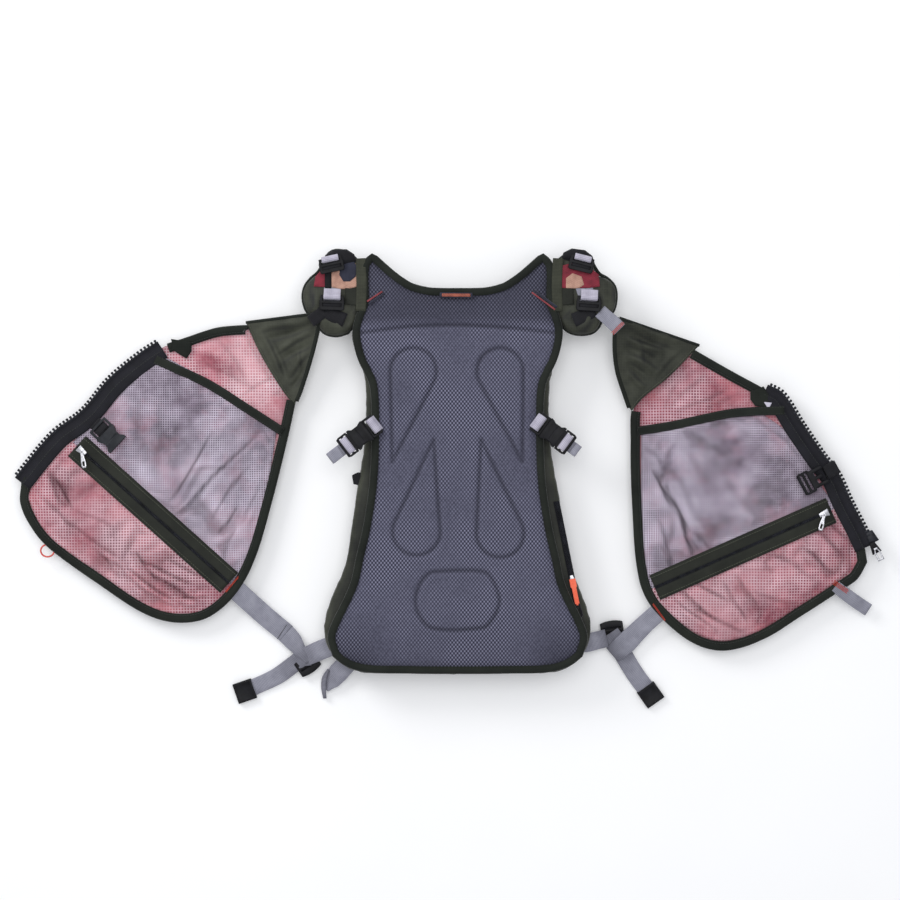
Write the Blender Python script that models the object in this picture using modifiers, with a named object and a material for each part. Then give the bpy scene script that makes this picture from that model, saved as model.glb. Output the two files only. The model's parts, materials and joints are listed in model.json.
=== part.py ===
"""A fishing vest: two mesh-lined front panels joined to a small backpack, laid flat with its body side up.

Lengths are in millimetres until they reach Blender. X runs across the vest, Y from the hem to the collar,
Z up from the table. The origin is on the table, on the back's centre line, level with the waist.
"""

import math

import bmesh
import bpy
from mathutils import Matrix, Vector

MM = 0.001
GAP = 0.3  # between pieces that touch
SHARP = True  # marks a corner of an outline
SIDES = {"left": -1, "right": 1}

# Heights above the table: the pack lies on its outer pocket, each front on its own
PACK_POCKET = (0.0, 13.7)
PACK_BODY = (14.0, 35.7)
BACK_FOAM = (36.0, 45.7)
BACK_MESH = (46.0, 49.7)
FRONT_POCKET = (0.0, 13.7)
FRONT_PANEL = (14.0, 17.7)
MESH_POCKET = (18.0, 19.4)
ZIP_BAND = (19.7, 21.2)
SHOULDER_PAD = (27.0, 46.0)
LOCK_LEVEL = 49.3  # underside of the ladder locks

WEBBING_NARROW = 20.0
WEBBING_THICK = 1.8
BAND_WIDE = 34.0
COIL_WIDE = 6.0
COIL_TALL = 1.6
TEETH_PITCH = 5.0
TEETH_LONG = 3.5
TAPE_WIDE = 22.0
BINDING_RADIUS = 3.0

# Half of the back's outlines, from the middle of the collar round to the middle of the hem
COLLAR = [(0, 230), (36, 231), (56, 236), (78, 250), (103, 272, SHARP), (110, 262, SHARP), (111, 218, SHARP)]
BACK_SIDE = [(121, 184), (114, 150), (101, 122), (98, 76), (100, 5), (108, -52), (117, -92), (123, -120),
             (133, -144), (145, -168), (151, -186), (146, -206), (118, -221), (60, -224), (0, -224.5)]
PACK_HALF = [(0, 205), (90, 205, SHARP), (108, 205, SHARP), (127, 180), (118, 150), (111, 124), (110, 76),
             (114, 30), (121, -10), (127, -50), (134, -95), (144, -122), (156, -152), (161, -178), (157, -198),
             (147, -213), (122, -228), (70, -230), (0, -231)]

# The fronts: outline of the mesh-lined panel, clockwise from the yoke seam
LEFT_PANEL = [(-256, 192, SHARP), (-293, 189), (-328, 178), (-358, 168, SHARP), (-389, 151), (-425, 118),
              (-456, 80), (-494, 51), (-530, 8, SHARP), (-534, -22), (-522, -51), (-500, -78), (-431, -128),
              (-386, -157), (-350, -169), (-309, -165), (-274, -137), (-250, -95), (-230, -30), (-209, 54),
              (-199, 100, SHARP), (-211, 115), (-236, 155)]
RIGHT_PANEL = [(289, 162, SHARP), (329, 139), (371, 116, SHARP), (391, 103), (414, 66), (440, 28), (458, 6),
               (473, -26), (491, -61, SHARP), (500, -97), (489, -116), (463, -134), (418, -163), (374, -190),
               (326, -204), (284, -192), (235, -146), (221, -105), (215, -28), (213, 32), (214, 88, SHARP),
               (222, 101), (252, 127)]
LEFT_TEETH_LINE = [(-366, 172), (-389, 157), (-426, 126), (-458, 88), (-495, 60), (-540, 6)]
RIGHT_TEETH_LINE = [(379, 119), (397, 109), (421, 72), (447, 34), (465, 11), (480, -22), (498, -57)]

# Each side's own places: the vest doesn't lie quite symmetrically
FRONTS = {
    "left": {
        "panel": LEFT_PANEL,
        "teeth": LEFT_TEETH_LINE,
        "mesh": [(-356, 152, SHARP), (-294, 118), (-222, 64, SHARP), (-238, -30), (-256, -90), (-278, -128),
                 (-310, -155), (-350, -159), (-384, -147), (-427, -117), (-493, -70), (-512, -46),
                 (-523, -18, SHARP), (-484, 30), (-430, 80), (-386, 130)],
        "pocket": [(-372, 112), (-300, 92), (-238, 30), (-256, -50), (-292, -122), (-350, -142), (-430, -98),
                   (-492, -46), (-494, 2), (-446, 56)],
        "band": ((-465, 45), (-279, -122)),
        "slider_at": 9.0,
        "slider_travel": 220.0,
        "pull_turn": -80.0,
        "yoke_seam": [(-254, 193), (-234, 155), (-209, 116), (-196, 102)],
        "yoke_strap": [(-167, 205), (-170, 184), (-180, 148), (-190, 118)],
        "fold_low": (-182.0, -223.0, 7.0),
        "fold_high": (-164.0, 207.0, 46.0),
        "webbing": [(-270, -134, 16), (-236, -166, 10), (-203, -197, 5)],
        "chest_at": (-424.0, 56.0),
        "chest_turn": -43.0,
    },
    "right": {
        "panel": RIGHT_PANEL,
        "teeth": RIGHT_TEETH_LINE,
        "mesh": [(364, 92, SHARP), (300, 81), (226, 63, SHARP), (226, -28), (231, -103), (244, -140),
                 (288, -180), (326, -192), (370, -179), (414, -152), (459, -123), (479, -106), (475, -72, SHARP),
                 (454, -28), (422, 24), (396, 61)],
        "pocket": [(360, 70), (300, 62), (250, 20), (240, -60), (262, -130), (326, -176), (404, -140),
                   (460, -96), (462, -52), (414, 16)],
        "band": ((241, -128), (456.5, -33.5)),
        "slider_at": 225.0,
        "slider_travel": -210.0,
        "pull_turn": -104.0,
        "yoke_seam": [(290, 166), (252, 131), (222, 107), (210, 94)],
        "yoke_strap": [(197, 198), (190, 180), (194, 140), (206, 108)],
        "fold_low": (190.0, -189.0, 7.0),
        "fold_high": (171.0, 207.0, 46.0),
        "webbing": [(242, -166, 16), (223, -186, 10), (206, -203, 5)],
        "chest_at": (441.0, 8.0),
        "chest_turn": 208.0,
    },
}
BACKS = {
    "left": {
        "pad": [(-120, 271, SHARP), (-132, 283), (-158, 284), (-182, 257), (-188, 228), (-186, 211, SHARP),
                (-165, 209, SHARP), (-160, 187), (-145, 179), (-131, 192), (-120, 214, SHARP)],
        "upper_lock": (-151.0, 263.0, 12.0),
        "lower_lock": (-152.0, 217.0, -2.0),
        "buckle_at": (-104.0, 68.0),
        "buckle_turn": 217.5,
        "strap": [(-160, -202, 14), (-173, -211.5, 9)],
        "glide": (-184.0, -223.0, 35.0),
        "tail": [(-197, -231), (-226, -244), (-249, -252)],
        "cap_turn": 199.0,
    },
    "right": {
        "pad": [(120, 270, SHARP), (132, 281), (158, 281), (186, 253), (190, 228), (184, 211, SHARP),
                (171, 208, SHARP), (165, 187), (148, 180), (131, 192), (120, 214, SHARP)],
        "upper_lock": (148.0, 264.0, -14.0),
        "lower_lock": (158.0, 216.0, -4.0),
        "buckle_at": (101.0, 71.0),
        "buckle_turn": -36.5,
        "strap": [(165, -193, 14), (173, -191, 10)],
        "glide": (190.0, -181.0, 8.0),
        "tail": [(205, -212), (220, -236), (230, -250)],
        "cap_turn": -55.0,
    },
}

FINISHES = {  # linear colour, roughness, metallic
    "spacer_mesh": ((0.11, 0.12, 0.19), 0.9, 0.0),
    "foam": ((0.05, 0.05, 0.06), 0.9, 0.0),
    "olive_fabric": ((0.028, 0.033, 0.024), 0.8, 0.0),
    "binding": ((0.012, 0.018, 0.015), 0.8, 0.0),
    "pink_mesh": ((0.60, 0.24, 0.27), 0.85, 0.0),
    "grey_mesh": ((0.38, 0.32, 0.41), 0.85, 0.0),
    "webbing": ((0.29, 0.29, 0.34), 0.75, 0.0),
    "black_plastic": ((0.012, 0.012, 0.015), 0.45, 0.0),
    "zip_tape": ((0.014, 0.015, 0.02), 0.8, 0.0),
    "silver_metal": ((0.65, 0.65, 0.67), 0.3, 1.0),
    "orange_trim": ((0.90, 0.14, 0.05), 0.6, 0.0),
}


def clear_scene():
    for obj in list(bpy.data.objects):
        bpy.data.objects.remove(obj)
    for collection in list(bpy.data.collections):
        bpy.data.collections.remove(collection)


def finish_material(name):
    found = bpy.data.materials.get(name)
    if found:
        return found
    colour, roughness, metallic = FINISHES[name]
    made = bpy.data.materials.new(name)
    made.use_nodes = True
    shader = made.node_tree.nodes["Principled BSDF"]
    shader.inputs["Base Color"].default_value = (*colour, 1)
    shader.inputs["Roughness"].default_value = roughness
    shader.inputs["Metallic"].default_value = metallic
    made.diffuse_color = (*colour, 1)
    return made


def place(name, data, finish, matrix=None):
    """Adds the object to the vest, in a material of its own."""
    obj = bpy.data.objects.new(name, data)
    own = finish_material(finish).copy()
    own.name = name + "_finish"
    data.materials.append(own)
    bpy.data.collections["fishing_vest"].objects.link(obj)
    if matrix is not None:
        obj.matrix_world = matrix
    return obj


def smooth_line(points, spacing, closed):
    """Points about `spacing` apart on a curve through the given ones. A straight run joins two SHARP ones."""
    spots = [Vector(p[:2]) for p in points]
    sharp = [len(p) == 3 for p in points]
    count = len(spots)
    if not closed:
        sharp[0] = sharp[-1] = True
    line = []
    for i in range(count if closed else count - 1):
        j = (i + 1) % count
        a, b = spots[i], spots[j]
        run = (b - a).length
        start = (b - a) if sharp[i] else (b - spots[i - 1]).normalized() * run
        end = (b - a) if sharp[j] else (spots[(j + 1) % count] - a).normalized() * run
        steps = 1 if sharp[i] and sharp[j] else max(1, round(run / spacing))
        for k in range(steps):
            t = k / steps
            line.append(
                a * (2 * t**3 - 3 * t**2 + 1)
                + start * (t**3 - 2 * t**2 + t)
                + b * (3 * t**2 - 2 * t**3)
                + end * (t**3 - t**2)
            )
    if not closed:
        line.append(spots[-1])
    return line


def offset(line, distance, closed):
    """The line moved sideways, to the left of its direction of travel for a positive distance."""
    moved = []
    for i, spot in enumerate(line):
        before = line[i - 1] if closed or i else spot
        after = line[(i + 1) % len(line)] if closed or i < len(line) - 1 else spot
        along = (after - before).normalized()
        moved.append(spot + Vector((-along.y, along.x)) * distance)
    return moved


def mirrored(half):
    """A whole outline from its right half, which starts and ends on the centre line."""
    left = [(-p[0], *p[1:]) for p in half[1:-1]]
    return half + left[::-1]


def flat_piece(name, loops, levels, finish, rounding=0.0, matrix=None):
    """A flat outline with a thickness; loops after the first are holes, and `rounding` softens its rims."""
    data = bpy.data.curves.new(name, "CURVE")
    data.dimensions = "2D"
    data.fill_mode = "BOTH"
    data.resolution_u = 1
    data.extrude = ((levels[1] - levels[0]) / 2 - rounding) * MM
    data.bevel_depth = rounding * MM
    data.bevel_resolution = 1
    data.offset = -rounding * MM
    for loop in loops:
        spline = data.splines.new("POLY")
        spline.points.add(len(loop) - 1)
        spline.use_cyclic_u = True
        for point, spot in zip(spline.points, loop):
            point.co = (spot[0] * MM, spot[1] * MM, 0, 1)
    middle = Matrix.Translation((0, 0, (levels[0] + levels[1]) / 2 * MM))
    return place(name, data, finish, matrix @ middle if matrix else middle)


def rectangle(x0, x1, y0, y1, cut=0.0):
    """A rectangle's outline, with its corners cut off by `cut`."""
    if not cut:
        return [(x0, y0), (x1, y0), (x1, y1), (x0, y1)]
    return [(x0 + cut, y0), (x1 - cut, y0), (x1, y0 + cut), (x1, y1 - cut),
            (x1 - cut, y1), (x0 + cut, y1), (x0, y1 - cut), (x0, y0 + cut)]


def standing(x, y, turn):
    """Places a piece at (x, y), turned about the vertical by `turn` degrees."""
    return Matrix.Translation((x * MM, y * MM, 0)) @ Matrix.Rotation(math.radians(turn), 4, "Z")


def sheet(name, edge_a, edge_b, thickness, finish, across=1):
    """A sheet between two edges with equally many (x, y, z) points, as a grid with a wall thickness."""
    mesh = bpy.data.meshes.new(name)
    grid = bmesh.new()
    along = len(edge_a) - 1
    bmesh.ops.create_grid(grid, x_segments=along, y_segments=across, size=0.5)
    for vert in grid.verts:
        i = round((vert.co.x + 0.5) * along)
        t = vert.co.y + 0.5
        vert.co = Vector(edge_a[i]).lerp(Vector(edge_b[i]), t) * MM
    grid.to_mesh(mesh)
    grid.free()
    obj = place(name, mesh, finish)
    wall = obj.modifiers.new("thickness", "SOLIDIFY")
    wall.thickness = thickness * MM
    wall.offset = 0
    wall.use_even_offset = True
    return obj


def strap(name, route, width, finish="webbing"):
    """Webbing along a route of (x, y, z) points, lying flat."""
    flat = [Vector(p[:2]) for p in route]
    one = offset(flat, width / 2, False)
    two = offset(flat, -width / 2, False)
    heights = [p[2] for p in route]
    return sheet(
        name,
        [(p.x, p.y, z) for p, z in zip(two, heights)],
        [(p.x, p.y, z) for p, z in zip(one, heights)],
        WEBBING_THICK,
        finish,
    )


def tube(name, route, radius, height, finish, closed):
    data = bpy.data.curves.new(name, "CURVE")
    data.dimensions = "3D"
    data.bevel_depth = radius * MM
    data.bevel_resolution = 1
    data.use_fill_caps = True
    spline = data.splines.new("POLY")
    spline.points.add(len(route) - 1)
    spline.use_cyclic_u = closed
    for point, spot in zip(spline.points, route):
        point.co = (spot[0] * MM, spot[1] * MM, height * MM, 1)
    return place(name, data, finish)


def ladder_lock(name, x, y, turn):
    """A ladder lock: a plate with a sewn bar's slot and a webbing slot. Its hinge is the sewn bar."""
    return flat_piece(
        name,
        [rectangle(-15, 15, 0, 16, 2), rectangle(-11.5, 11.5, 2.5, 6), rectangle(-11.5, 11.5, 9.5, 13)],
        (LOCK_LEVEL, LOCK_LEVEL + 4),
        "black_plastic",
        matrix=standing(x, y, turn),
    )


def make_back():
    back_half = COLLAR + BACK_SIDE
    back = smooth_line(mirrored(back_half), 16, True)
    pack = smooth_line(mirrored(PACK_HALF), 16, True)
    pocket = offset(pack, -18, True)
    flat_piece("back_foam_core", [back], BACK_FOAM, "foam")
    flat_piece("back_mesh_face", [back], BACK_MESH, "spacer_mesh", rounding=1.2)
    flat_piece("pack_body", [pack], PACK_BODY, "olive_fabric", rounding=3)
    flat_piece("pack_outer_pocket", [pocket], PACK_POCKET, "olive_fabric", rounding=3)
    rim = offset(back, BINDING_RADIUS + 1, True)
    tube("back_binding", rim, BINDING_RADIUS, BACK_FOAM[1] - 1, "binding", True)


PACK_ZIP_LOW = Vector((145.0, -146.0))
PACK_ZIP_HIGH = Vector((120.0, -22.0))
PACK_SLIDER_AT = 30.0  # from the low end of the zip
PACK_SLIDER_TRAVEL = 76.0


def make_pack_zip():
    """The pack's side zip lies in the gusset, outside the back's binding."""
    run = PACK_ZIP_HIGH - PACK_ZIP_LOW
    turn = math.degrees(math.atan2(run.y, run.x))
    base = standing(*PACK_ZIP_LOW, turn)
    floor = PACK_BODY[1] + GAP
    flat_piece("pack_side_zip", [rectangle(0, run.length, -2.6, 2.6)], (floor, floor + 1.5), "zip_tape", matrix=base)
    here = base @ Matrix.Translation((PACK_SLIDER_AT * MM, 0, 0))
    top = floor + 1.5 + GAP
    body = [rectangle(-5, 5, -3.5, 3.5, 1.5)]
    flat_piece("pack_slider", body, (top, top + 3), "silver_metal", matrix=here)
    pull = [rectangle(-32, 0.7, -3, 3, 1.5)]
    flat_piece("pack_pull", pull, (top + 3.3, top + 5.9), "orange_trim", matrix=here)


def make_shoulder(side):
    spec = BACKS[side]
    pad = smooth_line(spec["pad"], 14, True)
    flat_piece("shoulder_pad_" + side, [pad], SHOULDER_PAD, "olive_fabric", rounding=4)
    upper, lower = spec["upper_lock"], spec["lower_lock"]
    level = SHOULDER_PAD[1] + GAP + WEBBING_THICK / 2 + 0.1
    route = [(upper[0], upper[1] + 14, level), (upper[0], upper[1] - 10, level), (lower[0], lower[1] + 4, level)]
    strap("shoulder_webbing_" + side, route, 20)
    ladder_lock("upper_lock_" + side, upper[0], upper[1] - 6, upper[2])
    ladder_lock("shoulder_lock_" + side, lower[0], lower[1] - 6, lower[2])


SOCKET_LONG = 22.0
SOCKET_FLOOR = 36.6


def buckle_socket(name, base, floor, finish="black_plastic"):
    """The female half of a side-release buckle: a sleeve, with its mouth at the far end of +X."""
    across = Matrix(((0, 0, 1, 0), (1, 0, 0, 0), (0, 1, 0, 0), (0, 0, 0, 1)))
    outer = rectangle(-14, 14, 0, 9, 1.5)
    hollow = rectangle(-12.2, 12.2, 1.8, 7.2)
    place_at = base @ Matrix.Translation((0, 0, floor * MM)) @ across
    return flat_piece(name, [outer, hollow], (0, SOCKET_LONG), finish, matrix=place_at)


def buckle_prong(name, base, floor):
    """The male half: two spring arms that reach back into the socket, and a bar for the webbing."""
    outline = [(1, -14), (16, -14), (16, 14), (1, 14), (0.5, 11.6), (-17, 11.6), (-17, 7.5), (-4, 7.5), (-4, 2),
               (-13, 2), (-13, -2), (-4, -2), (-4, -7.5), (-17, -7.5), (-17, -11.6), (0.5, -11.6)]
    slots = [rectangle(3.5, 6.5, -11, 11), rectangle(9.5, 12.5, -11, 11)]
    return flat_piece(name, [outline, *slots], (floor + 2.2, floor + 6.8), "black_plastic", matrix=base)


def make_compression(side):
    """The side strap that draws the pack in: loop, socket, then the half that pulls out with its tail."""
    spec = BACKS[side]
    base = standing(*spec["buckle_at"], spec["buckle_turn"])
    top = BACK_MESH[1] + GAP
    loop = [rectangle(-9, 5.5, -8, 8)]
    flat_piece("compression_loop_" + side, loop, (top, top + WEBBING_THICK), "webbing", matrix=base)
    raised = base @ Matrix.Translation((6 * MM, 0, 0))
    level = top - 0.5
    buckle_socket("compression_socket_" + side, raised, level)
    mouth = raised @ Matrix.Translation((SOCKET_LONG * MM, 0, 0))
    buckle_prong("compression_prong_" + side, mouth, level)
    tail = [rectangle(8, 34, -10, 10)]
    low = level + 2.2 - GAP - WEBBING_THICK
    flat_piece("compression_tail_" + side, tail, (low, low + WEBBING_THICK), "webbing", matrix=mouth)


def make_lower_strap(side):
    """The webbing that joins the pack's lower corner to the front, through a tri-glide."""
    spec = BACKS[side]
    strap("lower_strap_" + side, spec["strap"], WEBBING_NARROW)
    x, y, turn = spec["glide"]
    glide = [rectangle(-14, 14, -7, 7, 2), rectangle(-11, 11, -4.5, -1.5), rectangle(-11, 11, 1.5, 4.5)]
    flat_piece("lower_glide_" + side, glide, (4.2, 8.2), "black_plastic", matrix=standing(x, y, turn))
    tail = smooth_line(spec["tail"], 16, False)
    strap("strap_tail_" + side, [(p.x, p.y, 2.2) for p in tail], WEBBING_NARROW)
    end = spec["tail"][-1]
    cap = standing(end[0], end[1], spec["cap_turn"])
    flat_piece("tail_cap_" + side, [rectangle(1.5, 25, -13, 13, 3)], (0, 6), "black_plastic", rounding=1, matrix=cap)


def make_waist_stub():
    """A short end of webbing with a half twist, from under the pack's lower left corner."""
    one = [(-152, -214, 11), (-164, -233, 6), (-170, -268, 3)]
    two = [(-133, -233, 11), (-146, -242, 4), (-152, -262, 8)]
    sheet("waist_strap_stub", one, two, WEBBING_THICK, "webbing")


def comb(line, turned):
    """A zip's outline: its tape's inner edge, then its outer edge with a tooth at each pitch."""
    inner = offset(line, TAPE_WIDE * turned, False)
    outer = []
    teeth = offset(line, -TEETH_LONG * turned, False)
    for i in range(len(line) - 1):
        a, b = line[i], line[i + 1]
        c, d = teeth[i], teeth[i + 1]
        outer += [a, a.lerp(b, 0.2), c.lerp(d, 0.25), c.lerp(d, 0.65), a.lerp(b, 0.7)]
    outer.append(line[-1])
    return outer + inner[::-1]


def yoke_height(edge, high, low):
    """Gives an edge of the yoke its height: high beside the shoulder lock, low at the panel's corner."""
    steps = len(edge) - 1
    return [(x, y, high + (low - high) * (i / steps) ** 0.8) for i, (x, y) in enumerate(edge)]


def make_front(side):
    spec = FRONTS[side]
    turned = SIDES[side]
    panel = smooth_line(spec["panel"], 20, True)
    flat_piece("front_panel_" + side, [panel], FRONT_PANEL, "pink_mesh")
    mesh = smooth_line(spec["mesh"], 22, True)
    flat_piece("mesh_pocket_" + side, [mesh], MESH_POCKET, "grey_mesh")
    pocket = smooth_line(spec["pocket"], 22, True)
    flat_piece("outer_pocket_" + side, [pocket], FRONT_POCKET, "olive_fabric", rounding=4)
    seam = yoke_height(spec["yoke_seam"], 16, 16)
    outer = yoke_height(spec["yoke_strap"], 44, 18)
    sheet("front_gusset_" + side, outer, seam, 2, "olive_fabric", across=3)
    teeth = comb(smooth_line(spec["teeth"], TEETH_PITCH, False), -turned)
    flat_piece("center_zip_" + side, [teeth], (FRONT_PANEL[1] + GAP, FRONT_PANEL[1] + 3.3), "zip_tape")
    strap("lower_webbing_" + side, spec["webbing"], WEBBING_NARROW)
    make_pocket_zip(side)
    make_chest_half(side)


def make_pocket_zip(side):
    spec = FRONTS[side]
    start, end = (Vector(p) for p in spec["band"])
    run = end - start
    turn = math.degrees(math.atan2(run.y, run.x))
    base = standing(*start, turn)
    low, high = ZIP_BAND
    half, coil = BAND_WIDE / 2, COIL_WIDE / 2
    profile = [(-half, low), (half, low), (half, high), (coil, high), (coil - 1, high + COIL_TALL),
               (1 - coil, high + COIL_TALL), (-coil, high), (-half, high)]
    across = Matrix(((0, 0, 1, 0), (1, 0, 0, 0), (0, 1, 0, 0), (0, 0, 0, 1)))
    flat_piece("zip_band_" + side, [profile], (0, run.length), "olive_fabric", matrix=base @ across)
    here = base @ Matrix.Translation((spec["slider_at"] * MM, 0, 0))
    top = high + COIL_TALL + GAP
    body = [rectangle(-6, 6, -4.5, 4.5, 2)]
    flat_piece("pocket_slider_" + side, body, (top, top + 3.2), "silver_metal", matrix=here)
    hinge = here @ Matrix.Rotation(math.radians(spec["pull_turn"] - turn), 4, "Z")
    pull = [rectangle(-0.7, 21, -3, 3, 1.5), rectangle(13, 18.5, -1.2, 1.2)]
    levels = (top + 3.5, top + 5.1)
    flat_piece("pocket_pull_" + side, pull, levels, "silver_metal", matrix=hinge)


def make_chest_half(side):
    """Half of the chest strap, folded back on the lining beside the centre zip."""
    spec = FRONTS[side]
    base = standing(*spec["chest_at"], spec["chest_turn"])
    floor = FRONT_PANEL[1] + 3.3 + GAP
    web = [rectangle(-22, -8.4, -8, 8)]
    flat_piece("chest_webbing_" + side, web, (floor, floor + WEBBING_THICK), "zip_tape", matrix=base)
    if side == "left":
        buckle_socket("chest_socket", base @ Matrix.Translation((-8 * MM, 0, 0)), floor)
    else:
        buckle_prong("chest_prong", base @ Matrix.Translation((9 * MM, 0, 0)), floor)


MAIN_SLIDER_AT = Vector((509.0, -79.0))
MAIN_ZIP_UP = Vector((-0.46, 0.888))


def make_main_slider():
    """The centre zip's slider waits below the box at the foot of the right chain."""
    turn = math.degrees(math.atan2(MAIN_ZIP_UP.y, MAIN_ZIP_UP.x))
    here = standing(*MAIN_SLIDER_AT, turn)
    low = FRONT_PANEL[1] + 3.3 + GAP
    flat_piece("main_slider", [rectangle(-7, 7, -6, 6, 2.5)], (low, low + 4), "black_plastic", matrix=here)
    ring = [rectangle(-17, 0, -4, 4, 2), rectangle(-14.5, -6, -2, 2)]
    flat_piece("main_pull", ring, (low + 4.3, low + 6.3), "silver_metal", matrix=here)


def make_hem_trims():
    strap("shoulder_link_right", [(178, 203, 47.8), (187, 196, 46.5), (197, 188, 45.5)], 14)
    strap("hem_tail_right", [(467, -139, 15.5), (486, -150, 13), (505, -160, 10)], 13)
    turns = 14
    loop = [(-508 + 7 * math.cos(2 * math.pi * i / turns), -86 + 7 * math.sin(2 * math.pi * i / turns))
            for i in range(turns)]
    tube("ring_loop", loop, 1.0, 16, "orange_trim", True)


def joint_axes():
    """Name, place and direction (mm) of every joint, each shown by an empty."""
    axes = {}
    for side, sign in SIDES.items():
        front, back = FRONTS[side], BACKS[side]
        low, high = Vector(front["fold_low"]), Vector(front["fold_high"])
        axes["front_fold_" + side] = (low, (high - low) * -sign)
        start, end = (Vector((*p, 0)) for p in front["band"])
        along = (end - start).normalized()
        top = ZIP_BAND[1] + COIL_TALL + GAP
        slider = start + along * front["slider_at"] + Vector((0, 0, top))
        axes["pocket_zip_" + side] = (slider, along * math.copysign(1, front["slider_travel"]))
        turn = math.radians(front["pull_turn"])
        lift = Vector((math.sin(turn), -math.cos(turn), 0))
        axes["pocket_pull_" + side] = (slider + Vector((0, 0, 4.3)), lift)
        turn = math.radians(back["buckle_turn"])
        way = Vector((math.cos(turn), math.sin(turn), 0))
        level = BACK_MESH[1] + GAP + 4
        axes["buckle_release_" + side] = (Vector((*back["buckle_at"], level)) + way * 28, way)
        for lock in ("upper_lock", "lower_lock"):
            x, y, turn = back[lock]
            turn = math.radians(turn)
            name = ("upper_lock_tilt_" if lock == "upper_lock" else "shoulder_lock_tilt_") + side
            axes[name] = (Vector((x, y - 6, LOCK_LEVEL + 2)), Vector((math.cos(turn), math.sin(turn), 0)))
        x, y = front["chest_at"]
        turn = math.radians(front["chest_turn"])
        way = Vector((math.cos(turn), math.sin(turn), 0))
        hinge = Vector((x, y, FRONT_PANEL[1] + 5.5)) - way * 8.2
        axes["chest_flip_" + side] = (hinge, Vector((way.y, -way.x, 0)))
    run = (PACK_ZIP_HIGH - PACK_ZIP_LOW).normalized()
    spot = PACK_ZIP_LOW + run * PACK_SLIDER_AT
    top = PACK_BODY[1] + GAP + 1.5 + GAP
    axes["pack_zip"] = (Vector((*spot, top)), Vector((*run, 0)))
    axes["pack_pull_flip"] = (Vector((*spot, top + 4.6)), Vector((-run.y, run.x, 0)))
    low = FRONT_PANEL[1] + 3.3 + GAP
    up = MAIN_ZIP_UP.normalized()
    axes["main_zip"] = (Vector((*MAIN_SLIDER_AT, low)), Vector((*up, 0)))
    axes["main_pull_flip"] = (Vector((*MAIN_SLIDER_AT, low + 5.3)), Vector((-up.y, up.x, 0)))
    return axes


def show_axes():
    for name, (spot, way) in joint_axes().items():
        guide = bpy.data.objects.new("axis_" + name, None)
        guide.empty_display_type = "SINGLE_ARROW"
        guide.empty_display_size = 40 * MM
        guide.location = spot * MM
        guide.rotation_mode = "QUATERNION"
        guide.rotation_quaternion = way.to_track_quat("Z", "Y")
        bpy.data.collections["guides"].objects.link(guide)


def main():
    clear_scene()
    for name in ("fishing_vest", "guides"):
        bpy.context.scene.collection.children.link(bpy.data.collections.new(name))
    make_back()
    make_pack_zip()
    make_waist_stub()
    for side in SIDES:
        make_shoulder(side)
        make_compression(side)
        make_lower_strap(side)
        make_front(side)
    make_main_slider()
    make_hem_trims()
    show_axes()


main()
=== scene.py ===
# %% [markdown]
# # A fishing vest laid open on a table
# The vest is a small backpack with two mesh-lined front panels. It lies on its pack with the
# side that touches the body facing up. Its joints and sizes come from a CAD frame, and this
# script gives every part of it the shape and the finish of sewn cloth, webbing and plastic.
# Lengths are in millimetres in the lists below, and in metres once they reach a mesh.

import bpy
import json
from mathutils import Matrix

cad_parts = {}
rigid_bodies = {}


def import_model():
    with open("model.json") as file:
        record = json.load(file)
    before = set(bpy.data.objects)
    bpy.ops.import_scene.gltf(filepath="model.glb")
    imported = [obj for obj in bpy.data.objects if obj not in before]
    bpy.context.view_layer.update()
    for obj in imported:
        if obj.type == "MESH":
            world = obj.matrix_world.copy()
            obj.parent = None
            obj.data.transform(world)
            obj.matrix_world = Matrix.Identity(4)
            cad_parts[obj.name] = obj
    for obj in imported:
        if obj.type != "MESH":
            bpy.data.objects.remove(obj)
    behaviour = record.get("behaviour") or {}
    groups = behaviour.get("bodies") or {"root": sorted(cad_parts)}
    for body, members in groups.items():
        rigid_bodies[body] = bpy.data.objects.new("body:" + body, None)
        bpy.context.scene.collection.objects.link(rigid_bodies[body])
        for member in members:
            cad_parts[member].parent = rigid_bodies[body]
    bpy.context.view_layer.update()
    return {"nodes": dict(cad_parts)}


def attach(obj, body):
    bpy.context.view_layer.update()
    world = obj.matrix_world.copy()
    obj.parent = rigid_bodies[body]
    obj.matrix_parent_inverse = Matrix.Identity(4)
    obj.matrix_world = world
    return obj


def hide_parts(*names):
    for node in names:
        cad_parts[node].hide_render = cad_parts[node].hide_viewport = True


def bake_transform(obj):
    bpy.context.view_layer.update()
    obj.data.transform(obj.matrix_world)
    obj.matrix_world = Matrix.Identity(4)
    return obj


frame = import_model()

import json
import math

import bmesh
import bpy
import numpy as np
from mathutils import Matrix, Vector, geometry, noise

MM = 0.001
NODES = frame["nodes"]
SIDES = {"left": -1, "right": 1}

# %% [markdown]
# ## Camera, light and floor
# The vest is seen from straight above, from far enough away that nothing leans outwards. A long
# lens does that. A pale floor with one broad soft lamp overhead and a bright sky gives the even
# light of a catalogue table, and a second lamp from one side lets folds and webbing show relief.

# %% Camera, light and floor
LENS, FILM = 85.0, 36.0
VIEW_WIDE = 1098.0  # width of the table that the picture takes in, at the height of the panels
VIEW_MIDDLE = (-9.15, 40.26, 24.0)

camera_data = bpy.data.cameras.new("camera")
camera_data.lens, camera_data.sensor_width = LENS, FILM
camera = bpy.data.objects.new("camera", camera_data)
bpy.context.scene.collection.objects.link(camera)
away = VIEW_WIDE * LENS / FILM
camera.location = Vector(VIEW_MIDDLE) * MM + Vector((0, 0, away * MM))
bpy.context.scene.camera = camera
bpy.context.scene.view_settings.view_transform = "Standard"


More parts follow.
